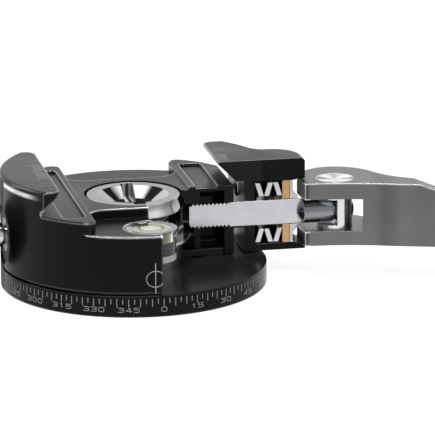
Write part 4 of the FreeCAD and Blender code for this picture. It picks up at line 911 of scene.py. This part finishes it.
def backdrop_world():
    """White all round to the camera; to gloss it is white behind and dim at the front and overhead."""
    world = bpy.data.worlds.new("studio")
    bpy.context.scene.world = world
    g = Graph(world)
    seen, glossy = white_rays(g)
    way = g.split(g.node("ShaderNodeTexCoord").outputs["Generated"])
    behind = g.span(way["Y"], -0.25, 0.6, ROOM_LEVEL, 1.0)
    above = g.span(way["Z"], 0.45, 0.8, 1.0, OVERHEAD_LEVEL)
    level = dimmed_gloss(g, glossy, g.times(behind, above))
    ambient = g.node("ShaderNodeBackground", {"Color": WHITE, "Strength": AMBIENT})
    white = g.node("ShaderNodeBackground", {"Color": WHITE, "Strength": level})
    both = g.node("ShaderNodeMixShader", {0: seen, 1: ambient.outputs[0], 2: white.outputs[0]})
    g.finish(both.outputs[0], "ShaderNodeOutputWorld")


def floor_plane():
    """Pale floor that keeps the object's shadow; in gloss it dims towards the front."""
    half_size, level_z = 6000, -0.02
    g = material("floor_white")
    seen, glossy = white_rays(g)
    front = g.span(g.where()["Y"], -160 * MM, 60 * MM, FLOOR_FRONT, 1.0)
    level = dimmed_gloss(g, glossy, front)
    pale = g.node("ShaderNodeBsdfDiffuse", {"Color": grey(0.8)})
    shaded = g.node("ShaderNodeBsdfDiffuse", {"Color": grey(0.16)})
    glow = g.node("ShaderNodeEmission", {"Strength": g.times(level, FLOOR_GLOW)})
    white = g.node("ShaderNodeAddShader", {0: shaded.outputs[0], 1: glow.outputs[0]})
    both = g.node("ShaderNodeMixShader", {0: seen, 1: pale.outputs[0], 2: white.outputs[0]})
    corner_points = [(x * half_size, y * half_size, level_z) for x, y in ((-1, -1), (1, -1), (1, 1), (-1, 1))]
    data = mesh("floor", corner_points, [(0, 1, 2, 3)])
    data.materials.append(g.finish(both.outputs[0]))
    floor = placed("floor", data)


# Softboxes: name, place, the point aimed at, width and height, all in metres, and power in watts.
LAMPS = [
    ("strip_top", (-0.02, -0.15, 0.75), (0, 0, 0), 0.55, 0.14, 5.5),
    ("strip_left", (-0.46, 0.40, 0.12), (0, 0, 0.02), 0.07, 0.4, 0.7),
    ("softbox_left", (-0.40, 0.40, 0.42), (0, 0, 0.02), 0.36, 0.2, 1.6),
    ("strip_right", (0.55, 0.30, 0.14), (0, 0, 0.02), 0.07, 0.36, 0.5),
]


def lamps():
    """One softbox overhead, and two strips and a softbox at the back corners."""
    for name, place, aim, width, height, watts in LAMPS:
        light = bpy.data.lights.new(name, "AREA")
        light.shape = "RECTANGLE"
        light.size = width
        light.size_y = height
        light.energy = watts
        made = placed(name, light)
        made.location = place
        made.rotation_euler = (Vector(aim) - Vector(place)).to_track_quat("-Z", "Y").to_euler()


# The camera, fitted to the object's own edges. FOCAL_PIXELS is for a photograph PHOTO_WIDTH pixels wide.
AZIMUTH, ELEVATION, ROLL = 11.23, 14.94, -0.284
FOCAL_PIXELS, PHOTO_WIDTH = 4492.0, 435.0
DISTANCE, SHIFT_RIGHT, SHIFT_UP = 0.8966, -0.01669, -0.01269
SENSOR_WIDTH = 36.0


def camera():
    """A long lens from the front, a little to one side and above."""
    azimuth, elevation, roll = (math.radians(angle) for angle in (AZIMUTH, ELEVATION, ROLL))
    level_right = Vector((math.cos(azimuth), -math.sin(azimuth), 0))
    ahead = Vector((math.sin(azimuth) * math.cos(elevation), math.cos(azimuth) * math.cos(elevation),
                    -math.sin(elevation)))
    level_up = level_right.cross(ahead)
    right = math.cos(roll) * level_right + math.sin(roll) * level_up
    up = -math.sin(roll) * level_right + math.cos(roll) * level_up
    place = -SHIFT_RIGHT * right - SHIFT_UP * up - DISTANCE * ahead
    data = bpy.data.cameras.new("camera")
    data.sensor_fit = "HORIZONTAL"
    data.sensor_width = SENSOR_WIDTH
    data.lens = FOCAL_PIXELS * SENSOR_WIDTH / PHOTO_WIDTH
    data.clip_start = 0.05
    data.clip_end = 50
    made = placed("camera", data)
    made.matrix_world = Matrix.Translation(place) @ Matrix((right, up, -ahead)).transposed().to_4x4()
    bpy.context.scene.camera = made


backdrop_world()
floor_plane()
lamps()
camera()
bpy.context.scene.view_settings.view_transform = "Standard"
